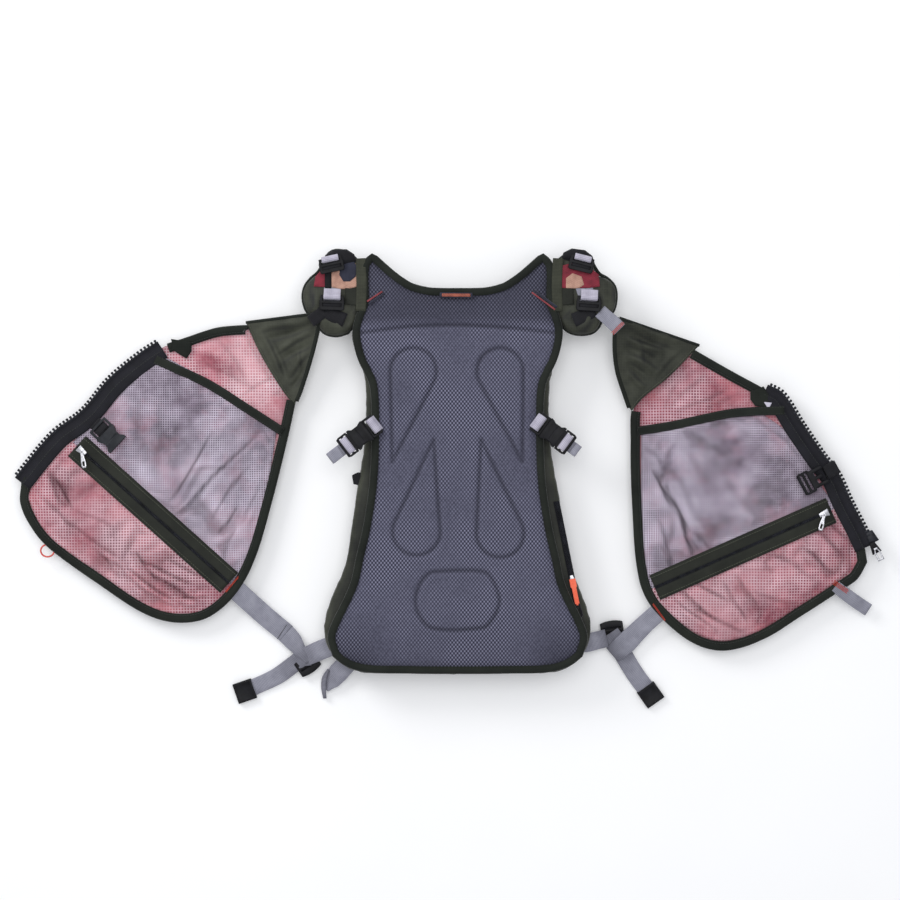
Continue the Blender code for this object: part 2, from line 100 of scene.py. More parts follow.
def lamp(name, place, size, watts):
    """A square soft lamp that points at the vest."""
    data = bpy.data.lights.new(name, "AREA")
    data.size, data.energy = size, watts
    obj = bpy.data.objects.new(name, data)
    obj.location = place
    obj.rotation_euler = (-Vector(place)).to_track_quat("-Z", "Y").to_euler()
    bpy.context.scene.collection.objects.link(obj)


lamp("lamp_over", (0.1, 0.5, 2.9), 2.2, 33)
lamp("lamp_side", (-2.0, 1.7, 1.5), 1.1, 32)
sky = bpy.data.worlds.new("studio")
sky.use_nodes = True
sky.node_tree.nodes["Background"].inputs["Color"].default_value = (0.93, 0.95, 1.0, 1)
sky.node_tree.nodes["Background"].inputs["Strength"].default_value = 0.58
bpy.context.scene.world = sky

bpy.ops.object.select_all(action="DESELECT")
bpy.ops.mesh.primitive_plane_add(size=9.0, location=(0, 0, -0.4 * MM))
floor = bpy.context.object
floor.name = "floor"
print("camera", round(away), "mm above the panels")

# %% [markdown]
# ## Building blocks for finishes
# A finish is a small graph of shader nodes. These helpers add one node at a time, so that each
# finish below reads as a list of what the cloth shows: its threads, its unevenness, its relief.
# All of them read Object coordinates, or the piece's own "weave" map where threads follow a strap.

# %% Helpers for shader nodes


def add(tree, kind, sockets=None, **settings):
    """One shader node; a socket takes a number, a colour or another node's output."""
    made = tree.nodes.new("ShaderNode" + kind)
    for key, value in settings.items():
        setattr(made, key, value)
    for key, value in (sockets or {}).items():
        if isinstance(value, bpy.types.NodeSocket):
            tree.links.new(value, made.inputs[key])
        else:
            made.inputs[key].default_value = value
    return made


def maths(tree, operation, a, b=0.0):
    return add(tree, "Math", {0: a, 1: b}, operation=operation).outputs[0]


def stops(tree, factor, *marks):
    """A colour ramp; each mark is (position, colour or grey level)."""
    ramp = add(tree, "ValToRGB", {"Fac": factor})
    elements = ramp.color_ramp.elements
    while len(elements) < len(marks):
        elements.new(0.5)
    for element, (position, colour) in zip(elements, marks):
        element.position = position
        element.color = (colour,) * 3 + (1,) if isinstance(colour, float) else (*colour, 1)
    return ramp.outputs["Color"]


def blend_colours(tree, factor, one, two):
    node = add(tree, "Mix", data_type="RGBA")
    for index, value in ((0, factor), (6, one), (7, two)):
        if isinstance(value, bpy.types.NodeSocket):
            tree.links.new(value, node.inputs[index])
        else:
            node.inputs[index].default_value = (*value, 1) if index else value
    return node.outputs[2]


def srgb(r, g, b):
    """The linear colour of a dyer's 0 to 255 shade."""
    return tuple((c / 255 / 12.92) if c < 10.3 else ((c / 255 + 0.055) / 1.055) ** 2.4 for c in (r, g, b))


def cloth_speckle(tree, where, scale, detail=3.0, rough=0.6):
    return add(tree, "TexNoise", {"Vector": where, "Scale": scale, "Detail": detail,
                                  "Roughness": rough}).outputs["Fac"]


def waves(tree, where, axis, pitch, turn=0.0):
    """A cosine from 0 to 1 along one axis of the coordinates, once per pitch (mm)."""
    if turn:
        where = add(tree, "VectorRotate", {"Vector": where, "Angle": math.radians(turn)}).outputs[0]
    part = add(tree, "SeparateXYZ", {0: where}).outputs[axis]
    swing = maths(tree, "COSINE", maths(tree, "MULTIPLY", part, 2 * math.pi / (pitch * MM)))
    return maths(tree, "MULTIPLY", maths(tree, "ADD", swing, 1.0), 0.5)


def new_finish(name, roughness, **fixed):
    """An empty finish: its tree, its shader and the object coordinates."""
    made = bpy.data.materials.new(name)
    made.use_nodes = True
    tree = made.node_tree
    shader = tree.nodes["Principled BSDF"]
    shader.inputs["Roughness"].default_value = roughness
    shader.inputs["Specular IOR Level"].default_value = 0.25
    for key, value in fixed.items():
        shader.inputs[key.replace("_", " ")].default_value = value
    return made, tree, shader, add(tree, "TexCoord").outputs["Object"]


def complete(tree, shader, colour, relief=None, depth=0.3, strength=0.5):
    """Links the colour and a bump of that depth (mm) to the shader."""
    tree.links.new(colour, shader.inputs["Base Color"])
    if relief is not None:
        bump = add(tree, "Bump", {"Height": relief, "Distance": depth * MM, "Strength": strength})
        tree.links.new(bump.outputs[0], shader.inputs["Normal"])


# %% [markdown]
# ## The finishes
# Spacer mesh is two knitted faces held apart by threads, and shows staggered small holes: the
# product of two cosines gives that lattice. Ripstop is plain cloth with a thicker thread every few
# millimetres. The lining is a pale net over red cloth. Webbing is a thick rib weave, so its finish
# runs on the strap's own map. Painted shade: a value in each point darkens the colour where shade
# falls, in pressed seams and folds. Plastic has a fine moulded grain and metal has a brushed one.

# %% Mesh, ripstop and net finishes


def with_painted_shade(tree, colour, deepest, shadow=(0.006, 0.006, 0.012)):
    """The colour with painted shade: darkened towards the shadow colour where the piece's painted shade value
    says so.
    """
    tone = add(tree, "Attribute", attribute_name="tone").outputs["Fac"]
    return blend_colours(tree, maths(tree, "MULTIPLY", tone, deepest), colour, shadow)


def spacer_mesh_finish():
    made, tree, shader, where = new_finish("spacer_mesh", 0.85, Sheen_Weight=0.12, Sheen_Roughness=0.5)
    across, down = waves(tree, where, 0, 4.3), waves(tree, where, 1, 5.2)
    both = maths(tree, "MULTIPLY", maths(tree, "SUBTRACT", across, 0.5), maths(tree, "SUBTRACT", down, 0.5))
    knit = maths(tree, "ADD", maths(tree, "MULTIPLY", both, 2.0), 0.5)
    uneven = cloth_speckle(tree, where, 16, 4.0)
    fine = cloth_speckle(tree, where, 340, 2.0)
    strong = stops(tree, uneven, (0.36, 0.25), (0.62, 1.0))
    threads = stops(tree, knit, (0.12, srgb(34, 34, 52)), (0.5, srgb(76, 76, 93)), (0.9, srgb(136, 136, 158)))
    plain = stops(tree, fine, (0.3, srgb(64, 64, 80)), (0.7, srgb(90, 90, 108)))
    colour = blend_colours(tree, strong, plain, threads)
    complete(tree, shader, with_painted_shade(tree, colour, 0.8), knit, 0.7, 0.45)
    return made


def ripstop_finish(name, dark, light, fleck=0.5, rough=0.62):
    made, tree, shader, where = new_finish(name, rough, Sheen_Weight=0.2, Sheen_Roughness=0.35)
    lines = maths(tree, "MAXIMUM", waves(tree, where, 0, 3.1), waves(tree, where, 1, 3.1))
    ridge = stops(tree, lines, (0.86, 0.0), (0.97, 1.0))
    uneven = cloth_speckle(tree, where, 22, 4.0)
    colour = stops(tree, uneven, (0.3, dark), (0.72, light))
    colour = blend_colours(tree, maths(tree, "MULTIPLY", ridge, 0.22), colour, light)
    thread = cloth_speckle(tree, where, 700, 2.0)
    relief = maths(tree, "ADD", maths(tree, "MULTIPLY", ridge, 0.6), maths(tree, "MULTIPLY", thread, fleck))
    complete(tree, shader, with_painted_shade(tree, colour, 0.7), relief, 0.22, 0.6)
    return made


def net_finish(name, under, thread, shade, pitch, tint):
    """A pale net over coloured cloth. The cloth shows where the net lies close, and hazes over elsewhere."""
    made, tree, shader, where = new_finish(name, 0.8, Sheen_Weight=0.15, Sheen_Roughness=0.4)
    wander = add(tree, "TexNoise", {"Vector": where, "Scale": 9.0, "Detail": 2.0}).outputs["Color"]
    moved = add(tree, "VectorMath", {0: where, 1: add(tree, "VectorMath", {0: wander, 1: (0.004,) * 3},
                operation="MULTIPLY").outputs[0]}, operation="ADD").outputs[0]
    warp, weft = waves(tree, moved, 0, pitch), waves(tree, moved, 1, pitch)
    net = maths(tree, "MAXIMUM", warp, weft)
    uneven = cloth_speckle(tree, where, 26, 5.0, 0.65)
    base = stops(tree, uneven, (0.32, shade), (0.64, under))
    close = stops(tree, cloth_speckle(tree, where, 17, 4.0, 0.62), (0.46, 0.0), (0.64, 0.75))
    base = blend_colours(tree, close, base, tint)
    amount = stops(tree, net, (0.46, 0.0), (0.86, 1.0))
    patch = stops(tree, cloth_speckle(tree, where, 12, 4.0, 0.65), (0.36, 0.12), (0.62, 1.0))
    haze = stops(tree, cloth_speckle(tree, where, 8, 3.0), (0.42, 0.0), (0.7, 0.3))
    base = blend_colours(tree, haze, base, thread)
    colour = blend_colours(tree, maths(tree, "MULTIPLY", amount, patch), base, thread)
    # Painted shade in folds and hollows goes towards a deep red, a third of the shade colour.
    complete(tree, shader, with_painted_shade(tree, colour, 0.85, tuple(0.3 * c for c in shade)), net, 0.35, 0.5)
    return made


SPACER = spacer_mesh_finish()
OLIVE = ripstop_finish("olive_ripstop", srgb(32, 34, 28), srgb(72, 74, 63))
OLIVE_BAND = ripstop_finish("olive_band", srgb(23, 25, 21), srgb(42, 44, 37), 0.8, 0.75)
BINDING = ripstop_finish("binding_tape", srgb(17, 21, 17), srgb(34, 38, 32), 0.9, 0.8)
BLACK_CLOTH = ripstop_finish("black_cloth", srgb(8, 8, 11), srgb(24, 24, 29), 0.8, 0.75)
PINK = net_finish("red_lining_net", srgb(156, 74, 88), srgb(222, 188, 196), srgb(98, 34, 50), 3.5,
                  srgb(184, 98, 106))
# Painted light: a paler copy of the red lining net for the left lining, where more light falls.
PINK_WITH_PAINTED_LIGHT = net_finish("red_lining_net_painted_light", srgb(190, 104, 118), srgb(236, 208, 214), srgb(132, 60, 74), 3.5,
                        srgb(208, 120, 130))
GREY = net_finish("grey_pocket_net", srgb(104, 88, 104), srgb(214, 204, 220), srgb(58, 44, 58), 2.8,
                  srgb(158, 104, 118))


# %% Webbing, plastic, metal and trim finishes


def webbing_finish(name, dark, light):
    """Rib weave: fine ribs across the strap, crossed by the warp threads along it."""
    made, tree, shader, _ = new_finish(name, 0.72, Sheen_Weight=0.15, Sheen_Roughness=0.4)
    where = add(tree, "UVMap", uv_map="weave").outputs[0]
    ribs, warp = waves(tree, where, 0, 1.7), waves(tree, where, 1, 2.2)
    weave = maths(tree, "MULTIPLY", ribs, maths(tree, "ADD", maths(tree, "MULTIPLY", warp, 0.4), 0.6))
    uneven = maths(tree, "MULTIPLY", cloth_speckle(tree, where, 60, 4.0), 0.9)
    level = maths(tree, "ADD", maths(tree, "MULTIPLY", weave, 0.5), uneven)
    colour = stops(tree, level, (0.25, dark), (0.95, light))
    complete(tree, shader, with_painted_shade(tree, colour, 0.7), weave, 0.35, 0.6)
    return made


def moulded_finish(name, colour, worn, roughness=0.42):
    """Moulded plastic: a fine spark-eroded grain, and patches here and there rubbed slightly paler."""
    made, tree, shader, where = new_finish(name, roughness, Specular_IOR_Level=0.18)
    grain = cloth_speckle(tree, where, 1500, 2.0)
    rubbed = stops(tree, cloth_speckle(tree, where, 90, 4.0), (0.35, colour), (0.8, worn))
    complete(tree, shader, rubbed, grain, 0.06, 0.5)
    return made


def metal_finish():
    made, tree, shader, where = new_finish("silver_metal", 0.3, Metallic=1.0)
    scratch = cloth_speckle(tree, where, 420, 4.0)
    colour = stops(tree, scratch, (0.3, srgb(150, 150, 156)), (0.7, srgb(222, 222, 226)))
    complete(tree, shader, colour, scratch, 0.05, 0.4)
    return made


def trim_finish(name, dark, light, pitch=0.9, roughness=0.6):
    """Thread, piping cord and woven labels: short twisted threads on a bright colour."""
    made, tree, shader, where = new_finish(name, roughness, Sheen_Weight=0.2)
    twist = waves(tree, where, 0, pitch, 35.0)
    uneven = cloth_speckle(tree, where, 120, 3.0)
    level = maths(tree, "ADD", maths(tree, "MULTIPLY", twist, 0.4), maths(tree, "MULTIPLY", uneven, 0.8))
    complete(tree, shader, stops(tree, level, (0.25, dark), (0.85, light)), twist, 0.15, 0.5)
    return made


WEBBING = webbing_finish("grey_webbing", srgb(112, 112, 124), srgb(160, 160, 172))
PALE_WEBBING = webbing_finish("pale_webbing", srgb(146, 142, 158), srgb(200, 196, 210))
OLIVE_WEBBING = webbing_finish("olive_webbing", srgb(38, 40, 32), srgb(64, 66, 54))
BLACK_WEBBING = webbing_finish("black_webbing", srgb(8, 8, 11), srgb(27, 27, 32))
ZIP_TAPE = webbing_finish("zip_tape", srgb(10, 10, 14), srgb(28, 28, 36))
BLACK_PLASTIC = moulded_finish("black_plastic", srgb(8, 8, 11), srgb(26, 26, 31), 0.45)
GREY_PLASTIC = moulded_finish("dark_grey_plastic", srgb(34, 36, 40), srgb(54, 56, 60))
TEETH_PLASTIC = moulded_finish("zip_teeth", srgb(15, 16, 20), srgb(46, 48, 56), 0.3)
METAL = metal_finish()
BLACK_THREAD = trim_finish("black_thread", srgb(20, 22, 22), srgb(52, 55, 52))
OLIVE_THREAD = trim_finish("olive_thread", srgb(52, 55, 44), srgb(88, 92, 76))
RED_THREAD = trim_finish("red_thread", srgb(146, 36, 28), srgb(208, 74, 54))
DARK_RED = trim_finish("dark_red_cord", srgb(92, 30, 38), srgb(158, 68, 74))
RING_CORD = trim_finish("ring_cord", srgb(186, 66, 60), srgb(232, 110, 100))
RUST_LABEL = trim_finish("rust_label", srgb(92, 52, 48), srgb(178, 96, 74), 1.6)
ORANGE = trim_finish("orange_trim", srgb(228, 84, 52), srgb(255, 126, 96))
TAN_CLOTH = trim_finish("tan_cloth", srgb(132, 92, 82), srgb(202, 160, 140), 1.4, 0.75)
NAVY_CLOTH = trim_finish("navy_cloth", srgb(26, 28, 42), srgb(48, 50, 66), 1.4, 0.75)
RED_CLOTH = trim_finish("red_cloth", srgb(72, 16, 30), srgb(146, 44, 60), 1.4, 0.7)
FLOOR_FINISH, floor_tree, floor_shader, floor_where = new_finish("pale_floor", 0.85)
complete(floor_tree, floor_shader, stops(floor_tree, cloth_speckle(floor_tree, floor_where, 3.0),
         (0.3, (0.95, 0.95, 0.95)), (0.7, (0.97, 0.97, 0.97))))
floor_shader.inputs["Emission Color"].default_value = (1, 1, 1, 1)
floor_shader.inputs["Emission Strength"].default_value = 0.07
floor.data.materials.append(FLOOR_FINISH)
print("finishes:", len(bpy.data.materials))

# %% [markdown]
# ## Lines on the vest
# Every sewn piece follows an edge: a panel's rim, a seam, a strap's route. The frame already holds
# the outlines, so the rim of a flat node is read from its top face instead of being written twice.
# Its straight chords are then turned into a smooth curve, which keeps the corners that are sharp.

# %% Helpers for lines, as arrays of (x, y) in millimetres


def rim_of(node):
    """The outline of a flat node's top face, counterclockwise: the sides that only one face uses."""
    mesh = NODES[node].data
    spots = np.array([v.co for v in mesh.vertices]) / MM
    top = spots[:, 2].max() - 0.01
    sides = set()
    for face in mesh.polygons:
        if all(spots[i][2] > top for i in face.vertices):
            ring = [tuple(np.round(spots[i][:2], 2)) for i in face.vertices]
            for a, b in zip(ring, ring[1:] + ring[:1]):
                if (b, a) in sides:
                    sides.remove((b, a))
                else:
                    sides.add((a, b))
    follow = dict(sorted(sides))
    start = min(follow)
    line = [start]
    while follow[line[-1]] != start:
        line.append(follow[line[-1]])
    return np.array(line)


def curved(line, spacing, closed=False, corner=38.0):
    """The line as a smooth curve with points that far apart. A turn over `corner` degrees stays sharp."""
    line = np.asarray(line, float)
    count = len(line)
    made = []
    for i in range(count if closed else count - 1):
        a, b = line[i], line[(i + 1) % count]
        run = np.linalg.norm(b - a)
        leads = []
        for k in (i, (i + 1) % count):
            before, spot, after = line[k - 1], line[k], line[(k + 1) % count]
            end = not closed and k in (0, count - 1)
            one, two = spot - before, after - spot
            turn = 180.0
            if not end:
                cosine = one @ two / (np.linalg.norm(one) * np.linalg.norm(two) + 1e-9)
                turn = math.degrees(math.acos(np.clip(cosine, -1, 1)))
            lead = b - a if turn > corner else (after - before) / np.linalg.norm(after - before) * run
            leads.append(lead)
        for t in np.linspace(0, 1, max(1, round(run / spacing)), endpoint=False):
            made.append(a * (2 * t**3 - 3 * t**2 + 1) + leads[0] * (t**3 - 2 * t**2 + t)
                        + b * (3 * t**2 - 2 * t**3) + leads[1] * (t**3 - t**2))
    if not closed:
        made.append(line[-1])
    return np.array(made)


def sideways(line, closed):
    """The unit direction to the right of each point's way along the line."""
    if closed:
        along = np.roll(line, -1, 0) - np.roll(line, 1, 0)
    else:
        along = np.gradient(line, axis=0)
    along /= np.linalg.norm(along, axis=1)[:, None] + 1e-9
    return np.stack([along[:, 1], -along[:, 0]], 1)


def far_along(line):
    """The distance from the line's start to each of its points."""
    return np.concatenate([[0], np.cumsum(np.linalg.norm(np.diff(line, axis=0), axis=1))])


def straight(ends, count):
    """That many points at even steps from one end to the other."""
    one, two = (np.array(p, float) for p in ends)
    return one + (two - one) * np.linspace(0, 1, count)[:, None]


def grown(line, by, closed=True):
    """The line moved to its right: outwards for a rim."""
    return line + sideways(line, closed) * by


def stretch(loop, start, end, via):
    """The part of a closed line from start to end that passes near via."""
    near = lambda spot: int(np.argmin(np.linalg.norm(loop - np.array(spot), axis=1)))
    first, last = near(start), near(end)
    ahead = np.roll(loop, -first, 0)[: (last - first) % len(loop) + 1]
    back = np.roll(loop, -last, 0)[: (first - last) % len(loop) + 1][::-1]
    reach = lambda part: np.linalg.norm(part - np.array(via), axis=1).min()
    return ahead if reach(ahead) < reach(back) else back


def distance_to(spots, line, closed=False):
    """How far each spot is from the line, in millimetres."""
    ends = np.roll(line, -1, 0) if closed else line[1:]
    starts = line if closed else line[:-1]
    nearest = np.full(len(spots), 1e9)
    for a, b in zip(starts, ends):
        way = b - a
        t = np.clip((spots - a) @ way / (way @ way + 1e-12), 0, 1)
        nearest = np.minimum(nearest, np.linalg.norm(spots - a - t[:, None] * way, axis=1))
    return nearest


def within(spots, loop):
    """Whether each spot lies inside the closed line."""
    x, y = spots[:, 0], spots[:, 1]
    found = np.zeros(len(spots), bool)
    for (ax, ay), (bx, by) in zip(loop, np.roll(loop, -1, 0)):
        cross = (ay > y) != (by > y)
        with np.errstate(divide="ignore", invalid="ignore"):
            found ^= cross & (x < (bx - ax) * (y - ay) / (by - ay) + ax)
    return found


def rumple(spots, size, seed, stretched=1.0, turn=0.0):
    """Smooth unevenness from -1 to 1, with bumps about `size` mm wide, longer along `turn` degrees."""
    c, s = math.cos(math.radians(turn)), math.sin(math.radians(turn))
    u = (spots[:, 0] * c + spots[:, 1] * s) / (size * stretched)
    v = (spots[:, 1] * c - spots[:, 0] * s) / size
    return np.array([noise.noise((a, b, seed)) for a, b in zip(u, v)])


back_rim = rim_of("back_foam_core")
print("the back's rim has", len(back_rim), "points")

# %% [markdown]
# ## Cloth and webbing as meshes
# A cloth piece is a fine net of triangles inside its outline, with a height at each point. The
# triangles come from a constrained Delaunay mesh, which keeps the outline exactly and fills it
# evenly. A strap is a rounded strip that follows a route, and carries a map of the distance along
# and across it, so that the weave runs with the strap through every bend.

# %% Helpers for cloth, strips and finished pieces


def piece(name, mesh, finish, body, slot, stands_for=(), smooth=True):
    """Puts a mesh in the scene as a piece of the vest, riding on a body."""
    obj = bpy.data.objects.new(name, mesh)
    bpy.context.scene.collection.objects.link(obj)
    return dress(obj, finish, body, slot, stands_for, smooth)


def dress(obj, finish, body, slot=None, stands_for=(), smooth=True):
    obj.data.materials.clear()
    obj.data.materials.append(finish)
    if smooth:
        obj.data.polygons.foreach_set("use_smooth", [True] * len(obj.data.polygons))
    if body:
        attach(obj, body)
    if stands_for:
        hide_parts(*([stands_for] if isinstance(stands_for, str) else stands_for))
    return obj


def as_mesh(name, spots, faces, tones=None):
    """A mesh from points in millimetres and faces, with a painted shade value in each point when one is
    given.
    """
    mesh = bpy.data.meshes.new(name)
    mesh.from_pydata([tuple(p) for p in np.asarray(spots) * MM], [],
                     [tuple(int(i) for i in f) for f in faces])
    if tones is not None:
        mesh.attributes.new("tone", "FLOAT", "POINT").data.foreach_set("value", np.asarray(tones, np.float32))
    mesh.update()
    return mesh


def filled(rim, spacing):
    """Points and triangles that fill a closed line, and how many of the points are its rim."""
    low, high = rim.min(0), rim.max(0)
    step = spacing * math.sqrt(0.75)
    rows = []
    for k, y in enumerate(np.arange(low[1], high[1], step)):
        xs = np.arange(low[0] + (k % 2) * spacing / 2, high[0], spacing)
        rows.append(np.stack([xs, np.full(len(xs), y)], 1))
    grid = np.concatenate(rows)
    grid = grid[within(grid, rim)]
    grid = grid[distance_to(grid, rim, True) > 0.55 * spacing]
    spots = np.concatenate([rim, grid])
    ring = list(range(len(rim)))
    made = geometry.delaunay_2d_cdt([Vector(p) for p in spots], [], [ring], 1, 1e-4)
    return np.array([tuple(p) for p in made[0]]), [tuple(f) for f in made[2]], len(rim)


def cloth(name, rim, spacing, height, thick, tone=None):
    """A cloth of one thickness: height(spots) is its top in mm, and the last function gives the painted shade
    at each point.
    """
    flat, faces, _ = filled(rim, spacing)
    tones = tone(flat) if tone else np.zeros(len(flat))
    return thick_sheet(name, np.column_stack([flat, height(flat)]), faces, thick, tones)


def thick_sheet(name, spots, faces, thick, tones):
    """Gives a sheet its underside and the wall round its free edge."""
    sides = {}
    for f in faces:
        for a, b in zip(f, f[1:] + f[:1]):
            if (b, a) in sides:
                del sides[(b, a)]
            else:
                sides[(a, b)] = True
    n = len(spots)
    walls = [(b, a, a + n, b + n) for a, b in sides]
    under = [tuple(i + n for i in f[::-1]) for f in faces]
    return as_mesh(name, np.vstack([spots, spots - (0, 0, thick)]), faces + under + walls,
                   np.concatenate([tones, tones]))


def strip(name, route, profile, closed=False, ups=None, tones=None):
    """Sweeps a profile of (across, up) points, counterclockwise seen along the route, through 3D points.
    Its weave map holds the distance along and across in metres."""
    route = np.asarray(route, float)
    along = np.roll(route, -1, 0) - np.roll(route, 1, 0) if closed else np.gradient(route, axis=0)
    along /= np.linalg.norm(along, axis=1)[:, None]
    up = np.tile((0.0, 0.0, 1.0), (len(route), 1)) if ups is None else np.asarray(ups, float)
    across = np.cross(along, up)
    across /= np.linalg.norm(across, axis=1)[:, None]
    up = np.cross(across, along)
    profiles = profile if np.ndim(profile) == 3 else [profile] * len(route)
    rings = [r + np.outer(np.asarray(p)[:, 0], a) + np.outer(np.asarray(p)[:, 1], u)
             for r, a, u, p in zip(route, across, up, profiles)]
    m, n = len(profiles[0]), len(route)
    spots = np.concatenate(rings)
    faces = []
    for i in range(n if closed else n - 1):
        j = (i + 1) % n
        faces += [(i * m + k, i * m + (k + 1) % m, j * m + (k + 1) % m, j * m + k) for k in range(m)]
    if not closed:
        faces += [tuple(range(m))[::-1], tuple((n - 1) * m + k for k in range(m))]
    mesh = as_mesh(name, spots, faces, None if tones is None else np.repeat(tones, m))
    far = far_along(np.vstack([route, route[:1]]))
    wide = [p[0] for p in profiles[0]]
    chart = mesh.uv_layers.new(name="weave").data
    for face in mesh.polygons:
        wraps = closed and face.index // m == n - 1
        for loop_index, vert in zip(face.loop_indices, face.vertices):
            ring = vert // m
            here = far[n] if wraps and ring == 0 else far[ring]
            chart[loop_index].uv = (here * MM, wide[vert % m] * MM)
    orient_outwards(mesh)
    return mesh


def swept(name, route, profile, finish, body, slot, stands_for=(), **how):
    """A piece whose mesh is a strip along a route."""
    return piece(name, strip(name, route, profile, **how), finish, body, slot, stands_for)


def orient_outwards(mesh):
    work = bmesh.new()
    work.from_mesh(mesh)
    bmesh.ops.recalc_face_normals(work, faces=work.faces)
    work.to_mesh(mesh)
    work.free()


def band_profile(width, thick, soft=0.42, bow=0.0):
    """A flat strap's rounded cross-section; bow lifts its middle."""
    half, r = width / 2, thick * soft
    xs = np.linspace(-half + r, half - r, 5)
    rise = bow * (1 - (xs / half) ** 2)
    under = [(x, -thick / 2 + b) for x, b in zip(xs, rise)]
    over = [(x, thick / 2 + b) for x, b in zip(xs[::-1], rise[::-1])]
    right = [(half, -thick / 2 + r), (half, thick / 2 - r)]
    left = [(-half, thick / 2 - r), (-half, -thick / 2 + r)]
    return under + right + over + left


def round_profile(radius, sides, flat=1.0):
    return [(radius * math.cos(a), radius * flat * math.sin(a))
            for a in np.arange(sides) * 2 * math.pi / sides]


def level_line(line, z):
    """A flat line as 3D points at one height, or at a height for each point."""
    return np.column_stack([line, np.broadcast_to(z, len(line))])


print("helpers ready")

# %% [markdown]
# ## The padded back
# The back is moulded foam under spacer mesh. Seams pressed into it leave an arch across the
# shoulders, two drops that point down, two that point up, and a rounded octagon over the loins.
# It is one closed cushion: a fine top that rises from the binding and dips along each pressed
# line, a wall, and a flat underside. The lines are plain geometry, so a distance to each of them
# gives both the dip and the painted shade that darkens the groove.

# %% The pressed lines of the back
DROPS = [((-53.1, 135.4), 28.0, (-78.7, 25.6)), ((51.9, 135.4), 28.0, (78.7, 25.6)),
         ((-49.4, -58.6), 28.7, (-28.7, 52.5)), ((51.9, -61.0), 28.7, (28.7, 52.5))]
ARCH = [(-116.5, 181.8), (-56.7, 189.1), (-0.6, 190.9), (60.4, 187.9), (117.7, 181.8)]
OCTAGON = [(-28, -107), (29, -106.5), (40, -113), (50.6, -137), (49, -152), (40, -168), (31, -175),
           (-30, -175.5), (-46, -160), (-50.6, -141), (-46, -124), (-36, -110)]


def drop_outline(centre, radius, tip):
    """A circle drawn out to a point: two tangents from the tip, and the arc between them."""
    centre, tip = np.array(centre), np.array(tip)
    reach = np.linalg.norm(tip - centre)
    facing = math.atan2(*(tip - centre)[::-1])
    half = math.acos(radius / reach)
    angles = np.linspace(facing + half, facing + 2 * math.pi - half, 26)
    arc = centre + radius * np.stack([np.cos(angles), np.sin(angles)], 1)
    return np.vstack([arc, tip])


pressed = [(curved(ARCH, 6), False), (curved(OCTAGON, 5, True, 60), True)]
pressed += [(drop_outline(*d), True) for d in DROPS]
print("pressed lines:", len(pressed))

# %% The back pad
PAD_FLOOR, PAD_RIM, PAD_CROWN = 36.3, 44.6, 49.0
PRESS_DEEP, PRESS_WIDE = 2.6, 2.1


def closed_cushion(name, rim, spacing, height, floor_at, tone):
    """A closed form: a fine top, a wall down from its rim and a flat underside."""
    flat, faces, count = filled(rim, spacing)
    top = np.column_stack([flat, height(flat)])
    ring = top[:count].copy()
    ring[:, 2] = floor_at
    n = len(top)
    walls = [((i + 1) % count, i, n + i, n + (i + 1) % count) for i in range(count)]
    base = [tuple(n + i for i in range(count))[::-1]]
    tones = tone(flat)
    return as_mesh(name, np.concatenate([top, ring]), faces + walls + base,
                   np.concatenate([tones, tones[:count]]))


def back_height(spots):
    edge = distance_to(spots, rim_curve, True)
    z = PAD_RIM + (PAD_CROWN - PAD_RIM) * (1 - np.exp(-edge / 5.0))
    z += 0.5 * rumple(spots, 38, 3.0) + 0.25 * rumple(spots, 12, 7.0)
    for line, closed in pressed:
        far = distance_to(spots, line, closed)
        z += -PRESS_DEEP * np.exp(-((far / PRESS_WIDE) ** 2)) + 0.5 * np.exp(-(((far - 7) / 4) ** 2))
    return np.minimum(z, 49.9)


def back_painted_shade(spots):
    # Painted shade: darker along each pressed line and at the rim, where shade falls in the grooves.
    tone = np.zeros(len(spots))
    for line, closed in pressed:
        tone = np.maximum(tone, 0.62 * np.exp(-((distance_to(spots, line, closed) / 2.1) ** 2)))
    edge = distance_to(spots, rim_curve, True)
    tone = np.maximum(tone, 0.5 * np.exp(-edge / 4.5))
    # Painted shade in the bottom corners.
    low = np.clip((-150 - spots[:, 1]) / 60, 0, 1) * np.clip((np.abs(spots[:, 0]) - 70) / 50, 0.25, 1)
    # Darker towards the collar.
    high = np.clip((spots[:, 1] - 186) / 14, 0, 1)
    return np.clip(tone + 0.6 * low + 0.6 * high + 0.10 * rumple(spots, 60, 1.5), 0, 1)


rim_curve = curved(back_rim, 3.0, True)
back_pad = piece("back_pad", closed_cushion("back_pad", rim_curve, 2.3, back_height, PAD_FLOOR, back_painted_shade),
                 SPACER, "backpack", "spacer_mesh", ("back_mesh_face", "back_foam_core"))
print("back pad:", len(back_pad.data.polygons), "faces")

# %% [markdown]
# ## Binding, piping and label of the back
# A tape folded over the raw edge closes the back all round. It is swept along the rim, a little
# outside it, with a soft oval section that is pulled in by its stitches. At the two collar corners
# short bars of red piping close the seams, and a small plain woven label is sewn to the collar.

# %% The back's binding
BINDING_OUT = 3.4


def ribbon_profile(inner, outer, low, high):
    """A tape folded round an edge: from inner, round outer, and back; rounded on the outside."""
    middle, half = (low + high) / 2, (high - low) / 2
    turn = [(outer - half + half * math.cos(a), middle + half * math.sin(a))
            for a in np.linspace(-1.3, 1.3, 5)]
    return [(inner, low)] + turn + [(inner, high), (inner - 0.8, middle)]


def puckered(line, profile, pitch=7.0, depth=0.35, seed=0.0):
    """The profile repeated along the line, each a little different, as a stitched tape is."""
    far = far_along(line)
    base = np.asarray(profile, float)
    swell = [1 + depth * 0.25 * math.sin(2 * math.pi * d / pitch)
             + depth * 0.5 * noise.noise((d / 19, seed, 0.3))
             for d in far]
    middle = base.mean(0)
    return [middle + (base - middle) * (1, k) for k in swell]


